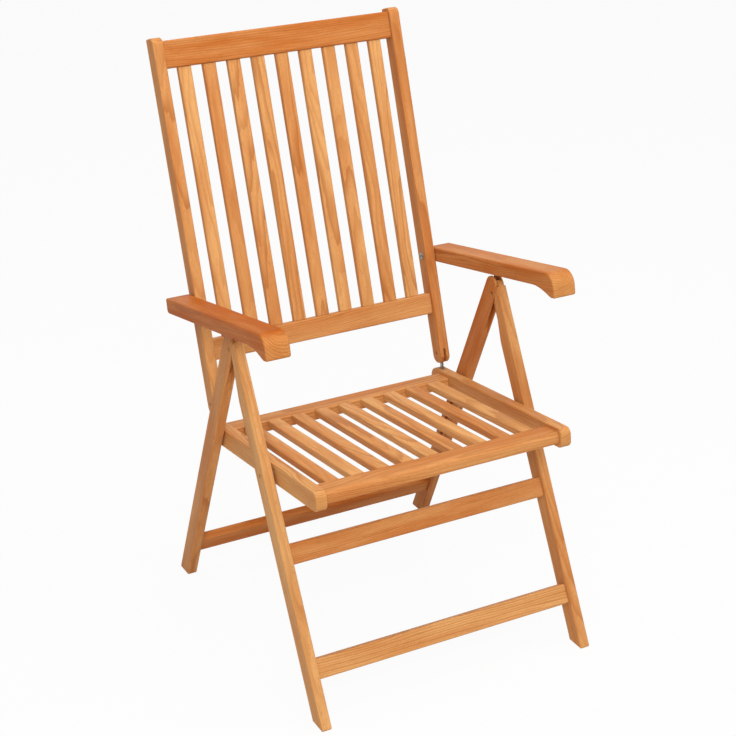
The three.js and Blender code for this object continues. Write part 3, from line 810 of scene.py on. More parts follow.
@dataclass
class Timber:
    """Sizes that several assemblies share, in millimetres and degrees, and the pieces they share."""

    gap: float = 0.3
    play: float = 0.4
    overrun: float = 5.0
    small_overrun: float = 1.0
    edge: float = 2.6
    foot_round: float = 2.9
    rail_round: float = 3.2
    rail_edge: float = 0.5
    leg_inner: float = 262.2
    leg_outer: float = 282.0
    leg_width: float = 36.0
    leg_set_off: float = 9.0
    front_lean: float = 27.3
    rear_lean: float = 25.2
    back_lean: float = 17.4
    fold_limit: float = 86.0
    legs_per_fold: float = 0.4946
    apex_height: float = 604.0
    tongue: float = 9.0
    tongue_radius: float = 15.0
    rod_rise: float = 24.0
    rod_radius: float = 3.0
    pin_radius: float = 3.5
    pin_depth: float = 2.2
    bolt_radius: float = 4.0
    bolt_cover: float = 4.0
    bolt_point_length: float = 0.7
    bolt_point_depth: float = 0.8
    head_radius: float = 6.8
    head_height: float = 2.4
    socket_radius: float = 2.9
    socket_depth: float = 1.8
    washer_radius: float = 8.0
    washer_play: float = 0.2
    washer_ease: float = 0.4
    side_inner: float = 235.6
    side_outer: float = 257.3
    hinge_pin_radius: float = 3.0
    plate_thickness: float = 4.0
    plate_width: float = 16.0
    arm_rise: float = 198.3
    slat_width: float = 26.0
    slat_round: float = 2.6
    slat_count: int = 9

    @property
    def near(self) -> float:
        """Gives the distance from the apex pin to the leg edge on the crotch side."""
        return self.leg_width / 2 - self.leg_set_off

    @property
    def far(self) -> float:
        """Gives the distance from the apex pin to the other leg edge."""
        return self.leg_width / 2 + self.leg_set_off

    @property
    def leg_middle(self) -> float:
        """Gives the X of the middle of the leg's thickness."""
        return (self.leg_inner + self.leg_outer) / 2

    @property
    def side_middle(self) -> float:
        """Gives the X of the middle of seat side and stile."""
        return (self.side_inner + self.side_outer) / 2

    @property
    def slat_pitch(self) -> float:
        """Gives the distance of the slats from middle to middle."""
        return (2 * self.side_inner + self.slat_width) / (self.slat_count + 1)

    @property
    def closed(self) -> float:
        """Gives the angle between the legs of the folded chair."""
        return self.front_lean + self.rear_lean - self.legs_per_fold * self.fold_limit

    def up_rear_leg(self, rise: float) -> float:
        """Gives how far up the rear leg's middle line a height above the apex pin lies."""
        lean = math.radians(self.rear_lean)
        return (rise - self.leg_set_off * math.sin(lean)) / math.cos(lean)

    def rod_rear(self) -> float:
        """Gives how far the rack rod stands to the rear of the apex pin, in the standing chair."""
        lean = math.radians(self.rear_lean)
        return self.leg_set_off * math.cos(lean) - self.up_rear_leg(self.rod_rise) * math.sin(lean)

    def bolt(self, end: float) -> bpy.types.Mesh:
        """Makes a bolt across the chair, with a domed head on the inner side and a hexagon socket in it.

        Args:
            end: x of its outer end.

        Returns:
            The mesh in millimetres.
        """
        face = self.side_inner - self.play
        top = face - self.head_height
        shank = self.bolt_radius
        profile = [
            *dome_profile(self.head_radius, self.head_height, face),
            (face, shank),
            (end - self.bolt_point_length, shank),
            (end, shank - self.bolt_point_depth),
            (end, 0.0),
        ]
        turns = [math.pi / 3 * side for side in range(6)]
        hexagon = [(self.socket_radius * math.cos(turn), self.socket_radius * math.sin(turn)) for turn in turns]
        socket = prism(Outline(hexagon), (top - self.small_overrun, top + self.socket_depth))
        return carve(turned(profile, 0.0, 0.0), [socket])

    def washer(self, x: Span, rear: float, up: float) -> bpy.types.Mesh:
        """Makes a flat washer with eased rims.

        Args:
            x: where it starts and ends.
            rear: rear coordinate of the axis.
            up: up coordinate of the axis.

        Returns:
            The mesh in millimetres.
        """
        disc = turned(pin_profile(self.washer_radius, x, self.washer_ease), rear, up)
        past = (x[0] - self.small_overrun, x[1] + self.small_overrun)
        return carve(disc, [bore(self.bolt_radius + self.washer_play, past, rear, up)])

    def rail(
        self, rear: Span, up: Span, inner: float, rounds: Sequence[float] | None = None,
    ) -> bpy.types.Mesh:
        """Makes a cross rail with rounded long edges.

        Args:
            rear: range to the rear.
            up: range upwards.
            inner: inner face of the uprights that it joins.
            rounds: radius of each edge, anticlockwise from the lower front one, where they differ.

        Returns:
            The mesh in millimetres.
        """
        radii = rounds or [self.rail_round] * 4
        corners = [(*corner, radius) for corner, radius in zip(rectangle(rear, up), radii)]
        return prism(Outline.filleted(corners), (self.gap - inner, inner - self.gap), self.rail_edge, 2)

    def leg(self, front: float, rear: float, lean: float, crown: float) -> Outline:
        """Draws a leg with a level foot and a round top.

        Args:
            front: front edge.
            rear: rear edge.
            lean: lean of the leg in degrees, to the rear.
            crown: height of the middle of the round top.

        Returns:
            The outline.
        """
        turn = math.radians(lean)
        half = (rear - front) / 2

        def floor(edge: float) -> float:
            """Gives where the floor cuts the line of an edge."""
            return (edge * math.sin(turn) - self.apex_height) / math.cos(turn)

        feet = [(front, floor(front), self.foot_round), (rear, floor(rear), self.foot_round)]
        top = crown + half
        return Outline.filleted([*feet, (rear, top, half * HALF_ROUND), (front, top, half * HALF_ROUND)])


class Workshop:
    """Holds the materials and turns meshes into finished pieces that ride on bodies."""

    def __init__(self) -> None:
        """Makes the node groups and the materials."""
        wear_and_shade = EdgeWearAndShade().group()
        self.materials = {Look.TEAK: TeakFinish().material(TeakGrain().group(), wear_and_shade)}
        for look, metal in METALS.items():
            self.materials[look] = metal.material(wear_and_shade)
        self.boards = 0
        self.slat_tree = slat_row_tree()

    def next_board(self) -> float:
        """Gives each board its own place in the tree, a number from 0 to 1."""
        self.boards += 1
        return (self.boards * GOLDEN_SHARE) % 1.0

    def finish(
        self, mesh: bpy.types.Mesh, plane: SidePlane, name: str, body: str, look: Look,
        nodes: Sequence[str] = (), grain: Grain | None = None, tone: float = 0.35,
    ) -> None:
        """Places a mesh, dresses it and ties it to its body.

        Args:
            mesh: mesh in the side view, in millimetres.
            plane: the side view.
            name: name of the piece.
            body: body that the piece rides on.
            look: its finish.
            nodes: CAD nodes that the piece stands for.
            grain: direction of the grain, for teak whose attributes aren't stored yet.
            tone: depth of the teak's tone, from 0 to 1.
        """
        if grain is not None:
            store_grain(mesh, grain, self.next_board(), tone)
        mesh.transform(plane.matrix())
        mesh.name = name
        mesh.materials.clear()
        mesh.materials.append(self.materials[look])
        shade(mesh)
        piece = bpy.data.objects.new(f"{name}_piece", mesh)
        bpy.context.scene.collection.objects.link(piece)
        weighted = piece.modifiers.new("normals", "WEIGHTED_NORMAL")
        weighted.keep_sharp = True
        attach(piece, body)
        if nodes:
            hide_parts(*nodes)
        log.info("%s: %d faces, rides on %s", piece.name, len(mesh.polygons), body)

    def finish_pair(
        self, mesh: bpy.types.Mesh, plane: SidePlane, name: str, bodies: tuple[str, str], look: Look,
        board: Board | None = None, replaced: bool = True,
    ) -> None:
        """Finishes a piece for the left side and its mirror image for the right side.

        Args:
            mesh: left piece in the side view, in millimetres.
            plane: the side view.
            name: name of the piece without its side.
            bodies: left and right body.
            look: its finish.
            board: how it was sawn, for teak.
            replaced: whether the pieces stand for CAD nodes of the same names.
        """
        grain = board.grain if board else None
        tones = (board.left_tone, board.right_tone) if board else (0.0, 0.0)
        for side, part, body, tone in zip(("left", "right"), (mesh, mirrored(mesh)), bodies, tones):
            label = f"{name}_{side}"
            self.finish(part, plane, label, body, look, [label] if replaced else [], grain, tone)

    def slat_row(
        self, timber: Timber, thickness: float, length: float, tones: Span, seed: int,
    ) -> bpy.types.Mesh:
        """Grows the slats of the seat or the back, side by side along X and each running along Z.

        Args:
            timber: the shared sizes.
            thickness: thickness of a slat.
            length: length of a slat.
            tones: palest and deepest tone.
            seed: seed of the tones and of the boards.

        Returns:
            The mesh in millimetres.
        """
        row = self.grow(self.slat_tree, {
            "Count": timber.slat_count,
            "Pitch": timber.slat_pitch,
            "Width": timber.slat_width,
            "Thickness": thickness,
            "Length": length,
            "Round": timber.slat_round,
            "Pale Tone": tones[0],
            "Deep Tone": tones[1],
            "Seed": seed,
            "Material": self.materials[Look.TEAK],
        })
        store_ends(row, Grain.UP)
        return row

    def grow(self, tree: bpy.types.NodeTree, settings: dict[str, object]) -> bpy.types.Mesh:
        """Runs a Geometry Nodes tree and keeps its result as a plain mesh.

        Args:
            tree: the tree.
            settings: values by the name of the input.

        Returns:
            The mesh.
        """
        empty = bpy.data.meshes.new("empty")
        host = bpy.data.objects.new("growing", empty)
        bpy.context.scene.collection.objects.link(host)
        step = host.modifiers.new("nodes", "NODES")
        step.node_group = tree
        for item in tree.interface.items_tree:
            if item.item_type == "SOCKET" and item.in_out == "INPUT" and item.name in settings:
                step[item.identifier] = settings[item.name]
        host.update_tag()
        depsgraph = bpy.context.evaluated_depsgraph_get()
        grown = bpy.data.meshes.new_from_object(host.evaluated_get(depsgraph))
        bpy.data.objects.remove(host)
        bpy.data.meshes.remove(empty)
        return grown


def store_grain(mesh: bpy.types.Mesh, grain: Grain, board: float, tone: float) -> None:
    """Stores where each point lies in its board, which board it is, its tone and its end grain.

    Args:
        mesh: mesh in the side view, in millimetres.
        grain: direction of the grain.
        board: the board's own number, 0 to 1.
        tone: depth of its tone, 0 to 1.
    """
    order = {Grain.ACROSS: (1, 2, 0), Grain.REAR: (0, 2, 1), Grain.UP: (0, 1, 2)}[grain]
    ranges = [[vertex.co[axis] for vertex in mesh.vertices] for axis in range(3)]
    middle = [(min(values) + max(values)) / 2 for values in ranges]
    places = [(vertex.co[axis] - middle[axis]) * MM for vertex in mesh.vertices for axis in order]
    mesh.attributes.new("grain", "FLOAT_VECTOR", "POINT").data.foreach_set("vector", places)
    for label, value in (("board", board), ("tone", tone)):
        values = [value] * len(mesh.vertices)
        mesh.attributes.new(label, "FLOAT", "POINT").data.foreach_set("value", values)
    store_ends(mesh, grain)


def store_ends(mesh: bpy.types.Mesh, grain: Grain) -> None:
    """Stores how much each face looks along the grain, and so shows end grain.

    Args:
        mesh: mesh in the side view.
        grain: direction of the grain.
    """
    least, rise = 0.35, 0.5
    facing = [abs(face.normal[grain.value]) for face in mesh.polygons]
    shares = [min(1.0, max(0.0, (value - least) / rise)) for value in facing]
    mesh.attributes.new("end", "FLOAT", "FACE").data.foreach_set("value", shares)


def shade(mesh: bpy.types.Mesh) -> None:
    """Shades a mesh smooth and keeps its sharp edges.

    Args:
        mesh: the mesh.
    """
    work = bmesh.new()
    work.from_mesh(mesh)
    for face in work.faces:
        face.smooth = True
    for edge in work.edges:
        edge.smooth = edge.calc_face_angle(0.0) < SHARP_ANGLE
    work.to_mesh(mesh)
    work.free()


def slat_row_tree() -> bpy.types.NodeTree:
    """Makes the tree that grows a row of slats along X, each running along Z.

    Returns:
        The tree.
    """
    sizes = ("Pitch", "Width", "Thickness", "Length", "Round", "Pale Tone", "Deep Tone")
    graph, given, result = new_group(
        "slat row",
        "GeometryNodeTree",
        {
            "Geometry": GEOMETRY,
            "Count": "NodeSocketInt",
            **dict.fromkeys(sizes, NUMBER),
            "Seed": "NodeSocketInt",
            "Material": "NodeSocketMaterial",
        },
        {"Geometry": GEOMETRY},
    )
    source = given.outputs
    size = {"Width": source["Width"], "Height": source["Thickness"]}
    section = graph.add("GeometryNodeCurvePrimitiveQuadrilateral", size)
    corner = {"Curve": section.outputs[0], "Radius": source["Round"], "Count": 5}
    fillet = graph.add("GeometryNodeFilletCurve", corner, mode="POLY")
    face = graph.add("GeometryNodeFillCurve", {0: fillet.outputs[0]}, mode="NGONS")
    reach = graph.add("ShaderNodeCombineXYZ", {2: source["Length"]})
    drawing = {"Mesh": face.outputs[0], "Offset": reach.outputs[0], "Individual": False}
    drawn = graph.add("GeometryNodeExtrudeMesh", drawing)
    foot = graph.add("GeometryNodeFlipFaces", {0: face.outputs[0]})
    both = graph.add("GeometryNodeJoinGeometry", {0: drawn.outputs[0]})
    graph.tree.links.new(foot.outputs[0], both.inputs[0])
    closed = graph.add("GeometryNodeMergeByDistance", {"Geometry": both.outputs[0], "Distance": 0.01})

    here = graph.add("GeometryNodeInputPosition")
    metres = graph.vector("MULTIPLY", here.outputs[0], (MM, MM, MM))
    placed = graph.add(
        "GeometryNodeStoreNamedAttribute",
        {"Geometry": closed.outputs[0], "Name": "grain", "Value": metres},
        data_type="FLOAT_VECTOR",
        domain="POINT",
    )
    half_row = graph.math("MULTIPLY", graph.math("SUBTRACT", source["Count"], 1.0), -0.5)
    first = graph.add("ShaderNodeCombineXYZ", {0: graph.math("MULTIPLY", half_row, source["Pitch"])})
    pitch = graph.add("ShaderNodeCombineXYZ", {0: source["Pitch"]})
    row = graph.add(
        "GeometryNodeMeshLine",
        {"Count": source["Count"], "Start Location": first.outputs[0], "Offset": pitch.outputs[0]},
        mode="OFFSET",
    )
    slats = {"Points": row.outputs[0], "Instance": placed.outputs[0]}
    numbered = graph.add("GeometryNodeInstanceOnPoints", slats)
    own = graph.add("FunctionNodeRandomValue", {"Seed": source["Seed"]}, data_type="FLOAT")
    tones = {2: source["Pale Tone"], 3: source["Deep Tone"], "Seed": graph.math("ADD", source["Seed"], 1.0)}
    toned = graph.add("FunctionNodeRandomValue", tones, data_type="FLOAT")
    for label, pick in (("board", own), ("tone", toned)):
        numbered = graph.add(
            "GeometryNodeStoreNamedAttribute",
            {"Geometry": numbered.outputs[0], "Name": label, "Value": pick.outputs[1]},
            data_type="FLOAT",
            domain="INSTANCE",
        )
    whole = graph.add("GeometryNodeRealizeInstances", {"Geometry": numbered.outputs[0]})
    coat = {"Geometry": whole.outputs[0], "Material": source["Material"]}
    return graph.give(result, {"Geometry": graph.add("GeometryNodeSetMaterial", coat).outputs[0]})


@dataclass
class FrontFrame:
    """Front legs with tongues at their tops, two rails, and the seat bolts with their washers."""

    timber: Timber
    upper_drop: float = 359.0
    lower_drop: float = 566.0
    rail_height: float = 37.0
    rail_thickness: float = 22.0
    rail_set_back: float = 5.0
    seat_drop: float = 230.0
    crown: float = 6.0
    tip_rise: float = 27.0
    tongue_top: float = 20.0
    rod_clearance: float = 1.2

    def build(self, shop: Workshop) -> None:
        """Makes and places every piece of the frame.

        Args:
            shop: the workshop.
        """
        t = self.timber
        plane = SidePlane.at_joint("legs_close", t.front_lean)
        through = (t.leg_inner - t.overrun, t.leg_outer + t.overrun)
        cheek = (t.leg_outer - t.leg_inner - t.tongue) / 2
        outline = t.leg(-t.far, t.near, t.front_lean, self.crown)
        leg = prism(outline, (t.leg_inner, t.leg_outer), t.edge)
        leg = carve(leg, [
            prism(self.cheek_outline(), (t.leg_inner - t.overrun, t.leg_inner + cheek)),
            prism(self.cheek_outline(), (t.leg_outer - cheek, t.leg_outer + t.overrun)),
            prism(self.crown_outline(), through),
            bore(t.pin_radius + t.play, through, 0.0, 0.0),
            bore(t.bolt_radius + t.gap, through, -t.leg_set_off, -self.seat_drop),
        ])
        bodies = ("front_frame", "front_frame")
        shop.finish_pair(leg, plane, "front_leg", bodies, Look.TEAK, Board(Grain.UP, 0.35, 0.16))

        rear = (self.rail_set_back - t.far, self.rail_set_back - t.far + self.rail_thickness)
        rails = (("front_upper_rail", self.upper_drop, 0.55), ("front_lower_rail", self.lower_drop, 0.28))
        for name, drop, tone in rails:
            rail = t.rail(rear, (-drop - self.rail_height, -drop), t.leg_inner)
            shop.finish(rail, plane, name, "front_frame", Look.TEAK, [name], Grain.ACROSS, tone)

        reach = (t.side_inner + t.bolt_cover, t.leg_outer - t.pin_depth)
        bolt = turned(pin_profile(t.bolt_radius, reach), -t.leg_set_off, -self.seat_drop)
        shop.finish_pair(bolt, plane, "seat_bolt", bodies, Look.OXIDE_AND_SHADE)
        washer = t.washer((t.side_outer + t.play, t.leg_inner - t.gap), -t.leg_set_off, -self.seat_drop)
        shop.finish_pair(washer, plane, "seat_washer", bodies, Look.STEEL, replaced=False)

    def cheek_outline(self) -> Outline:
        """Draws what the cheeks of the rear leg sweep as the legs close.

        Returns:
            The outline of the cut beside the tongue.
        """
        t = self.timber
        reach = t.near + t.play
        opened = math.radians(t.front_lean + t.rear_lean)
        closed = math.radians(t.closed)
        wide = t.leg_width * 2

        def edge(angle: float, along: float) -> Point:
            """Gives a point on the edge of the rear leg, with the legs at that angle."""
            return (
                -reach * math.cos(angle) + along * math.sin(angle),
                -reach * math.sin(angle) - along * math.cos(angle),
            )

        above = edge(opened, -wide)
        corner = edge(opened, -reach * math.tan((opened - closed) / 2))
        below = edge(closed, (t.near + reach) / math.sin(closed) + t.leg_width / 2)
        return Outline([above, corner, below, (wide, below[1]), (wide, above[1])])

    def crown_outline(self) -> Outline:
        """Draws what is taken off above the tongue: its tip stands in front of the rack rod.

        Returns:
            The outline of the cut.
        """
        t = self.timber
        lean = math.radians(t.front_lean)
        wide = t.leg_width * 2

        def chair(rear: float, up: float) -> Point:
            """Turns a place in the standing chair, from the apex pin, into one in the side view."""
            return (rear * math.cos(lean) - up * math.sin(lean), up * math.cos(lean) + rear * math.sin(lean))

        step = t.rod_rear() - t.rod_radius - self.rod_clearance
        outline = Outline([
            chair(-wide, self.tip_rise), chair(step, self.tip_rise), chair(step, self.tongue_top),
        ])
        outline.arc(0.0, 0.0, self.tongue_top, math.pi / 2 + lean, 0.0)
        return outline.line(wide, 0.0).line(wide, wide).line(chair(-wide, self.tip_rise)[0], wide)


@dataclass
class RearFrame:
    """Rear legs with forks at their tops, a stretcher, the apex pins and the rack rods."""

    timber: Timber
    stretcher_drop: float = 562.0
    stretcher_height: float = 35.0
    stretcher_thickness: float = 20.0
    set_back: float = 5.0
    crown_rise: float = 15.0
    rod_seat: float = 3.5
    groove_top: float = 256.9
    groove_end: float = 450.5
    groove_depth: float = 9.0
    groove_half: float = 5.0
    groove_drift: float = 0.6

    def build(self, shop: Workshop) -> None:
        """Makes and places every piece of the frame.

        Args:
            shop: the workshop.
        """
        t = self.timber
        plane = SidePlane.at_joint("legs_close", -t.rear_lean)
        bodies = ("rear_frame", "rear_frame")
        through = (t.leg_inner - t.overrun, t.leg_outer + t.overrun)
        slot = t.tongue / 2 + t.play
        crown = t.up_rear_leg(self.crown_rise)
        rod_up = t.up_rear_leg(t.rod_rise)
        rod_half = slot + self.rod_seat
        bore_span = (t.leg_middle - rod_half - t.gap, t.leg_middle + rod_half + t.gap)
        leg = prism(t.leg(-t.near, t.far, -t.rear_lean, crown), (t.leg_inner, t.leg_outer), t.edge)
        middle = t.leg_set_off + self.groove_drift
        groove = Outline().arc(middle, -self.groove_top, self.groove_half, 0.0, math.pi)
        groove.arc(middle, -self.groove_end, self.groove_half, math.pi, 2 * math.pi)
        leg = carve(leg, [
            prism(self.fork_outline(), (t.leg_middle - slot, t.leg_middle + slot)),
            prism(groove, (t.leg_inner - t.overrun, t.leg_inner + self.groove_depth)),
            bore(t.pin_radius + t.gap, through, 0.0, 0.0),
            bore(t.rod_radius + t.gap, bore_span, t.leg_set_off, rod_up),
        ])
        shop.finish_pair(leg, plane, "rear_leg", bodies, Look.TEAK, Board(Grain.UP, 0.68, 0.4))

        rear = (self.set_back - t.near, self.set_back - t.near + self.stretcher_thickness)
        up = (-self.stretcher_drop - self.stretcher_height, -self.stretcher_drop)
        stretcher = t.rail(rear, up, t.leg_inner)
        name = "rear_stretcher"
        shop.finish(stretcher, plane, name, "rear_frame", Look.TEAK, [name], Grain.ACROSS, 0.78)
        span = (t.leg_inner + t.pin_depth, t.leg_outer - t.pin_depth)
        pin = turned(pin_profile(t.pin_radius, span), 0.0, 0.0)
        shop.finish_pair(pin, plane, "apex_pin", bodies, Look.OXIDE_AND_SHADE)
        rod_span = (t.leg_middle - rod_half, t.leg_middle + rod_half)
        rod = turned(pin_profile(t.rod_radius, rod_span), t.leg_set_off, rod_up)
        shop.finish_pair(rod, plane, "rack_rod", bodies, Look.STEEL)

    def fork_outline(self) -> Outline:
        """Draws the slot of the fork, which takes the tongue and the closing leg.

        Returns:
            The outline of the slot.
        """
        t = self.timber
        reach = t.tongue_radius + t.play
        edge = t.near + t.play
        wide = t.leg_width * 2
        closed = math.radians(t.closed)
        meet = closed + math.acos(edge / reach)
        fall = (edge * math.cos(closed) + t.near) / math.sin(closed) + t.leg_width / 2
        foot = (
            edge * math.cos(closed) - fall * math.sin(closed),
            -edge * math.sin(closed) - fall * math.cos(closed),
        )
        outline = Outline([(-wide, wide), (-wide, foot[1]), foot])
        outline.arc(0.0, 0.0, reach, -meet, 0.0)
        return outline.line(wide, 0.0).line(wide, wide)


@dataclass
class Seat:
    """Seat side rails, cross rails, slats, guide pins, hinge plates and hinge pins."""

    timber: Timber
    tilt: float = 7.0
    height: float = 38.0
    front_reach: float = 178.0
    rear_reach: float = 299.0
    nose_radius: float = 13.0
    step: float = 7.0
    front_rail_depth: float = 45.7
    front_rail_recess: float = 7.0
    front_rail_round: float = 9.0
    front_rail_inner_round: float = 1.2
    rear_rail_depth: float = 42.0
    rear_rail_reach: float = 269.0
    rail_height: float = 22.0
    slat_thickness: float = 14.0
    slat_tones: Span = (0.15, 0.45)
    slat_seed: int = 11
    hinge_reach: float = 271.0
    hinge_rise: float = 34.0
    plate_neck: float = 8.0
    plate_foot: float = 16.0
    plate_sink: float = 1.5
    plate_head: float = 1.0
    plate_round: float = 1.2
    plate_foot_round: float = 0.8
    plate_edge: float = 0.6
    guide_reach: float = 232.75
    guide_radius: float = 4.0
    guide_in_side: float = 7.7
    guide_in_leg: float = 8.2
    bodies: tuple[str, str] = ("seat", "seat")

    def build(self, shop: Workshop) -> None:
        """Makes and places every piece of the seat.

        Args:
            shop: the workshop.
        """
        plane = SidePlane.at_joint("fold", self.tilt)
        self.dress_sides(shop, plane)
        self.dress_rails_and_slats(shop, plane)
        self.dress_metal(shop, plane)

    def dress_sides(self, shop: Workshop, plane: SidePlane) -> None:
        """Makes the side rails, with a slot for the hinge plate and a bore for the seat bolt.

        Args:
            shop: the workshop.
            plane: side view of the seat.
        """
        t = self.timber
        half = self.height / 2
        r = self.nose_radius
        front = -self.front_reach
        outline = Outline().arc(front + r, half - r, r, math.pi / 2, math.pi)
        outline.arc(front + r, r - half, r, math.pi, math.pi * 1.5)
        outline.arc(self.rear_reach - half, 0.0, half, -math.pi / 2, math.pi / 2)
        blind = (t.side_inner + t.bolt_cover - t.gap, t.side_outer + t.overrun)
        thick = t.plate_thickness / 2 + t.gap
        wide = t.plate_width / 2 + t.gap
        side = carve(prism(outline, (t.side_inner, t.side_outer), t.edge), [
            bore(t.bolt_radius + t.play, blind, 0.0, 0.0),
            box(
                (t.side_middle - thick, t.side_middle + thick),
                (self.hinge_reach - wide, self.hinge_reach + wide),
                (half - self.plate_foot - t.gap, half + t.overrun),
            ),
        ])
        shop.finish_pair(side, plane, "seat_side_rail", self.bodies, Look.TEAK, Board(Grain.REAR, 0.38, 0.2))

    def dress_rails_and_slats(self, shop: Workshop, plane: SidePlane) -> None:
        """Makes the two cross rails and the slats between them.

        Args:
            shop: the workshop.
            plane: side view of the seat.
        """
        t = self.timber
        top = self.height / 2 - self.step
        up = (top - self.rail_height, top)
        face = -self.front_reach + self.front_rail_recess
        front = (face, face + self.front_rail_depth)
        rear = (self.rear_rail_reach - self.rear_rail_depth, self.rear_rail_reach)
        rounds = (t.rail_round, self.front_rail_inner_round, self.front_rail_inner_round, self.front_rail_round)
        for name, span, radii, tone in (
            ("seat_front_rail", front, rounds, 0.5),
            ("seat_rear_rail", rear, None, 0.45),
        ):
            rail = t.rail(span, up, t.side_inner, radii)
            shop.finish(rail, plane, name, "seat", Look.TEAK, [name], Grain.ACROSS, tone)

        begin = front[1] + t.gap
        length = rear[0] - t.gap - begin
        row = shop.slat_row(t, self.slat_thickness, length, self.slat_tones, self.slat_seed)
        place = Matrix.Translation((0.0, begin, top - self.slat_thickness / 2))
        row.transform(place @ Matrix.Rotation(-math.pi / 2, 4, "X"))
        names = [f"seat_slat_{index + 1}" for index in range(t.slat_count)]
        shop.finish(row, plane, "seat_slats", "seat", Look.TEAK, names)

    def dress_metal(self, shop: Workshop, plane: SidePlane) -> None:
        """Makes the guide pins, the hinge plates and the hinge pins.

        Args:
            shop: the workshop.
            plane: side view of the seat.
        """
        t = self.timber
        span = (t.side_outer - self.guide_in_side, t.leg_inner + self.guide_in_leg)
        pin = turned(pin_profile(self.guide_radius, span), self.guide_reach, 0.0)
        shop.finish_pair(pin, plane, "guide_pin", self.bodies, Look.STEEL)
        rise = self.height / 2 + self.hinge_rise
        ends = (t.side_middle - t.plate_thickness / 2, t.side_middle + t.plate_thickness / 2)
        past = (ends[0] - t.small_overrun, ends[1] + t.small_overrun)
        hole = bore(t.hinge_pin_radius + t.gap, past, self.hinge_reach, rise)
        plate = carve(prism(self.plate_outline(rise), ends, self.plate_edge, 2), [hole])
        shop.finish_pair(plate, plane, "hinge_plate", self.bodies, Look.STEEL)
        span = (t.side_inner + t.pin_depth, t.side_outer - t.pin_depth)
        pin = turned(pin_profile(t.hinge_pin_radius, span), self.hinge_reach, rise)
        shop.finish_pair(pin, plane, "hinge_pin", self.bodies, Look.OXIDE_AND_SHADE)

    def plate_outline(self, rise: float) -> Outline:
        """Draws a hinge plate, waisted between seat and back and round at its top.

        Args:
            rise: height of the hinge pin.

        Returns:
            The outline.
        """
        half = self.height / 2
        wide = self.timber.plate_width / 2
        neck = self.plate_neck / 2
        foot, shoulder, low = half - self.plate_foot, half - self.plate_sink, rise - wide - self.plate_head
        r = self.plate_round
        edge = [
            (wide, foot, self.plate_foot_round), (wide, shoulder, r), (neck, shoulder, r),
            (neck, low, r), (wide, low, r), (wide, rise + wide, wide * HALF_ROUND),
        ]
        both = [*edge, *((-out, up, radius) for out, up, radius in reversed(edge))]
        return Outline.filleted([(self.hinge_reach + out, up, radius) for out, up, radius in both])


@dataclass
class Back:
    """Back stiles, rails and slats."""

    timber: Timber
    depth: float = 32.0
    length: float = 709.0
    below: float = 20.0
    top_round: float = 13.0
    top_rear_round: float = 3.0
    rail_thickness: float = 22.0
    top_height: float = 51.0
    top_drop: float = 7.0
    bottom_height: float = 41.0
    bottom_rise: float = 82.5
    slat_thickness: float = 12.0
    slat_recess: float = 3.0
    slat_tones: Span = (0.22, 0.48)
    slat_seed: int = 29

    def build(self, shop: Workshop) -> None:
        """Makes and places every piece of the back.

        Args:
            shop: the workshop.
        """
        t = self.timber
        plane = SidePlane.at_joint("back_folds", t.back_lean)
        top = self.length - self.below
        self.dress_stiles(shop, plane, top)

        rear = (-self.rail_thickness / 2, self.rail_thickness / 2)
        top_up = (top - self.top_drop - self.top_height, top - self.top_drop)
        bottom_up = (self.bottom_rise, self.bottom_rise + self.bottom_height)
        for name, up, tone in (("back_top_rail", top_up, 0.72), ("back_bottom_rail", bottom_up, 0.4)):
            rail = t.rail(rear, up, t.side_inner)
            shop.finish(rail, plane, name, "back", Look.TEAK, [name], Grain.ACROSS, tone)

        begin = bottom_up[1] + t.gap
        length = top_up[0] - t.gap - begin
        row = shop.slat_row(t, self.slat_thickness, length, self.slat_tones, self.slat_seed)
        row.transform(Matrix.Translation((0.0, rear[0] + self.slat_recess + self.slat_thickness / 2, begin)))
        names = [f"back_slat_{index + 1}" for index in range(t.slat_count)]
        shop.finish(row, plane, "back_slats", "back", Look.TEAK, names)

    def dress_stiles(self, shop: Workshop, plane: SidePlane, top: float) -> None:
        """Makes the stiles, with a slot for the hinge plate and bores for hinge pin and arm bolt.

        Args:
            shop: the workshop.
            plane: side view of the back.
            top: height of their tops.
        """
        t = self.timber
        half = self.depth / 2
        through = (t.side_inner - t.overrun, t.side_outer + t.overrun)
        outline = Outline().arc(0.0, half - self.below, half, math.pi, 2 * math.pi)
        r = self.top_rear_round
        outline.arc(half - r, top - r, r, 0.0, math.pi / 2)
        r = self.top_round
        outline.arc(r - half, top - r, r, math.pi / 2, math.pi)
        thick = t.plate_thickness / 2 + t.play
        stile = carve(prism(outline, (t.side_inner, t.side_outer), t.edge), [
            box(
                (t.side_middle - thick, t.side_middle + thick),
                (-self.depth, self.depth),
                (-self.below - t.overrun, t.plate_width / 2 + t.play),
            ),
            bore(t.hinge_pin_radius + t.play, through, 0.0, 0.0),
            bore(t.bolt_radius + t.play, through, 0.0, t.arm_rise),
        ])
        board = Board(Grain.UP, 0.5, 0.42)
        shop.finish_pair(stile, plane, "back_stile", ("back", "back"), Look.TEAK, board)


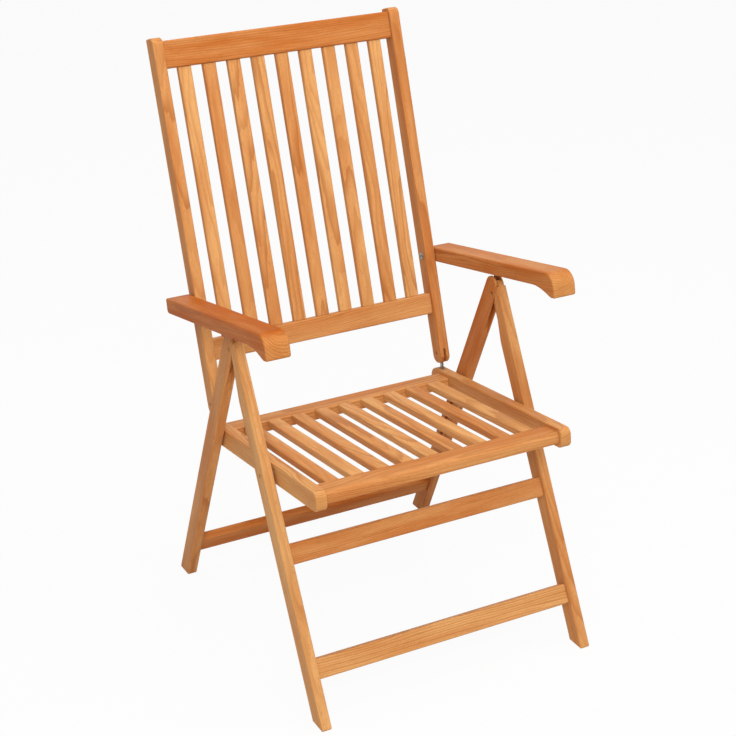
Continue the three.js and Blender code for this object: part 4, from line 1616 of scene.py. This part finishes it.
@dataclass
class Armrests:
    """Armrests, each with its notched rack let flush into the underside, and the arm bolts."""

    timber: Timber
    slope: float = 11.3
    inner: float = 259.3
    width: float = 47.0
    thickness: float = 29.0
    edge: float = 3.4
    edge_steps: int = 5
    tail: float = 12.0
    tail_round: float = 7.0
    tail_top_round: float = 4.0
    length: float = 441.0
    nose_drop: float = 17.0
    nose_foot: float = 14.0
    nose_sweep: float = 62.0
    nose_lift: Point = (0.35, 0.55)
    nose_settle: float = 0.4
    nose_top_round: float = 27.0
    nose_foot_round: float = 5.0
    bolt_depth: float = 30.0
    rack_thickness: float = 4.0
    rack_let_in: float = 10.0
    rack_corner: float = 0.5
    rack_edge: float = 0.3
    notch_radius: float = 4.4
    notches: int = 5
    rack_end: float = 12.0
    recline: float = 28.0
    arm_share: float = 0.7788

    def build(self, shop: Workshop) -> None:
        """Makes and places both arms with their racks and bolts.

        Args:
            shop: the workshop.
        """
        t = self.timber
        plane = SidePlane.at_joint("left_arm_folds", self.slope)
        bodies = ("left_arm", "right_arm")
        half = self.thickness / 2
        rods = [self.rod_in_arm(self.recline * index / (self.notches - 1)) for index in range(self.notches)]
        rack_rear = (rods[-1] - self.rack_end, rods[0] + self.rack_end)
        rack_up = (-half, self.rack_let_in - half)
        rack_x = (t.leg_middle - self.rack_thickness / 2, t.leg_middle + self.rack_thickness / 2)
        ends = (self.inner, self.inner + self.width)
        arm = carve(prism(self.outline(), ends, self.edge, self.edge_steps), [
            box(
                (rack_x[0] - t.gap, rack_x[1] + t.gap),
                (rack_rear[0] - t.gap, rack_rear[1] + t.gap),
                (rack_up[0] - t.overrun, rack_up[1] + t.gap),
            ),
            bore(t.bolt_radius + t.gap, (self.inner - t.overrun, self.inner + self.bolt_depth), 0.0, 0.0),
        ])
        shop.finish_pair(arm, plane, "armrest", bodies, Look.TEAK, Board(Grain.REAR, 0.66, 0.92))

        corners = [(*corner, self.rack_corner) for corner in rectangle(rack_rear, rack_up)]
        past = (rack_x[0] - t.small_overrun, rack_x[1] + t.small_overrun)
        cuts = [bore(self.notch_radius, past, rod, rack_up[0]) for rod in rods]
        rack = carve(prism(Outline.filleted(corners), rack_x, self.rack_edge, 1), cuts)
        shop.finish_pair(rack, plane, "arm_rack", bodies, Look.BRONZE)

        bolt = t.bolt(self.inner + self.bolt_depth - t.gap)
        shop.finish_pair(bolt, plane, "arm_bolt", bodies, Look.STEEL)
        washer = t.washer((t.side_outer + t.play, self.inner - t.play), 0.0, 0.0)
        shop.finish_pair(washer, plane, "arm_washer", bodies, Look.STEEL, replaced=False)

    def outline(self) -> Outline:
        """Draws the arm with its drooping nose.

        Returns:
            The outline.
        """
        half = self.thickness / 2
        tip = -self.length
        low = -half - self.nose_drop
        end = tip + self.nose_foot
        start = end + self.nose_sweep
        r = self.tail_top_round
        made = Outline().arc(self.tail - r, half - r, r, 0.0, math.pi / 2)
        r = self.nose_top_round
        made.arc(tip + r, half - r, r, math.pi / 2, math.pi)
        r = self.nose_foot_round
        made.arc(tip + r, low + r, r, math.pi, math.pi * 1.5).line(end, low)
        made.bezier(
            (end + self.nose_sweep * self.nose_lift[0], low + self.nose_drop * self.nose_lift[1]),
            (start - self.nose_sweep * self.nose_settle, -half),
            (start, -half),
        )
        r = self.tail_round
        return made.arc(self.tail - r, r - half, r, -math.pi / 2, 0.0)

    def rod_in_arm(self, recline: float) -> float:
        """Gives how far along the arm the rack rod stands, with the back reclined.

        Args:
            recline: angle of the back from its upright place, in degrees.

        Returns:
            The distance to the rear of the arm bolt, less than zero in front of it.
        """
        t = self.timber
        hinge = SidePlane.at_joint("back_folds", t.back_lean + recline)
        bolt = hinge.matrix() @ Vector((0.0, 0.0, t.arm_rise))
        leg = SidePlane.at_joint("legs_close", -t.rear_lean)
        rod = leg.matrix() @ Vector((0.0, t.leg_set_off, t.up_rear_leg(t.rod_rise)))
        turn = math.radians(self.slope + recline * (1 - self.arm_share))
        return ((rod.y - bolt.y) * math.cos(turn) - (rod.z - bolt.z) * math.sin(turn)) / MM


@dataclass(frozen=True)
class Lamp:
    """Soft square light: where it hangs, its width, its power in watts and its tint."""

    name: str
    place: Triple
    size: float
    power: float
    tint: Triple = (1.0, 1.0, 1.0)

    def hang(self, aim: Triple) -> None:
        """Makes the light and points it.

        Args:
            aim: the point that it looks at.
        """
        light = bpy.data.lights.new(self.name, "AREA")
        light.shape = "SQUARE"
        light.size = self.size
        light.energy = self.power
        light.color = self.tint
        holder = bpy.data.objects.new(self.name, light)
        bpy.context.scene.collection.objects.link(holder)
        holder.location = self.place
        holder.rotation_mode = "QUATERNION"
        holder.rotation_quaternion = (Vector(aim) - Vector(self.place)).to_track_quat("-Z", "Y")


@dataclass(frozen=True)
class Studio:
    """Camera, lights, floor and background of the photograph."""

    camera_at: Triple = (-1.3728, -2.6515, 1.8363)
    forward: Triple = (0.42108, 0.80960, -0.40897)
    roll: float = -0.82
    lens: float = 85.5
    sensor: float = 36.0
    aim: Triple = (0.0, 0.0, 0.5)
    lamps: tuple[Lamp, ...] = (
        Lamp("key", (-1.8, -3.1, 3.0), size=1.7, power=103.0, tint=(1.0, 0.985, 0.96)),
        Lamp("fill", (2.9, -2.0, 1.9), size=2.4, power=27.0),
        Lamp("top", (0.3, -0.2, 3.6), size=2.2, power=58.0),
    )
    sky: tuple[float, float, float, float] = (1.0, 0.97, 0.93, 1.0)
    sky_strength: float = 0.4
    floor_size: float = 9.0
    floor_drop: float = 0.0005
    floor_colour: tuple[float, float, float, float] = (0.70, 0.69, 0.67, 1.0)
    floor_glow: float = 0.94

    def build(self) -> None:
        """Sets up everything round the chair."""
        self.make_camera()
        self.make_world()
        self.make_floor()
        for lamp in self.lamps:
            lamp.hang(self.aim)

    def make_camera(self) -> None:
        """Makes the camera."""
        scene = bpy.context.scene
        camera = bpy.data.cameras.new("camera")
        camera.lens = self.lens
        camera.sensor_width = self.sensor
        holder = bpy.data.objects.new("camera", camera)
        scene.collection.objects.link(holder)
        scene.camera = holder
        forward = Vector(self.forward).normalized()
        right = forward.cross(Vector((0.0, 0.0, 1.0))).normalized()
        up = right.cross(forward)
        turn = math.radians(self.roll)
        right, up = (
            math.cos(turn) * right + math.sin(turn) * up,
            -math.sin(turn) * right + math.cos(turn) * up,
        )
        pose = Matrix((right, up, -forward)).transposed().to_4x4()
        pose.translation = Vector(self.camera_at)
        holder.matrix_world = pose
        scene.view_settings.view_transform = "Standard"

    def seen_directly(self, graph: Graph) -> bpy.types.NodeSocket:
        """Adds the mask of the rays that show the background: straight, mirrored and through glass.

        Args:
            graph: graph of the world or of a material.

        Returns:
            A socket, 1 on those rays.
        """
        path = graph.add("ShaderNodeLightPath")
        seen = graph.math("MAXIMUM", path.outputs["Is Camera Ray"], path.outputs["Is Transmission Ray"])
        return graph.math("MAXIMUM", seen, path.outputs["Is Glossy Ray"])

    def make_world(self) -> None:
        """Makes a world that lights softly and shows plain white."""
        world = bpy.data.worlds.new("studio")
        graph = fresh_graph(world)
        soft = graph.add("ShaderNodeBackground", {"Color": self.sky, "Strength": self.sky_strength})
        white = graph.add("ShaderNodeBackground", {"Color": WHITE, "Strength": 1.0})
        seen = self.seen_directly(graph)
        blend = graph.add("ShaderNodeMixShader", {0: seen, 1: soft.outputs[0], 2: white.outputs[0]})
        graph.add("ShaderNodeOutputWorld", {"Surface": blend.outputs[0]})
        bpy.context.scene.world = world

    def make_floor(self) -> None:
        """Makes the pale floor, which keeps a faint shadow of the chair."""
        work = bmesh.new()
        bmesh.ops.create_grid(work, x_segments=1, y_segments=1, size=self.floor_size)
        mesh = bpy.data.meshes.new("floor")
        work.to_mesh(mesh)
        work.free()
        floor = bpy.data.objects.new("floor", mesh)
        bpy.context.scene.collection.objects.link(floor)
        floor.location.z = -self.floor_drop
        material = bpy.data.materials.new("floor paper")
        graph = fresh_graph(material)
        glow = graph.add("ShaderNodeEmission", {"Color": WHITE, "Strength": 1.0})
        matt = graph.add("ShaderNodeBsdfDiffuse", {"Color": self.floor_colour})
        share = graph.math("MULTIPLY", self.seen_directly(graph), self.floor_glow)
        blend = graph.add("ShaderNodeMixShader", {0: share, 1: matt.outputs[0], 2: glow.outputs[0]})
        graph.add("ShaderNodeOutputMaterial", {"Surface": blend.outputs[0]})
        mesh.materials.append(material)


def main() -> None:
    """Builds the studio and the chair."""
    studio = Studio()
    studio.build()
    shop = Workshop()
    timber = Timber()
    for part in (FrontFrame(timber), RearFrame(timber), Seat(timber), Back(timber), Armrests(timber)):
        part.build(shop)
        log.info("%s done", type(part).__name__)


if __name__ == "__main__":
    main()
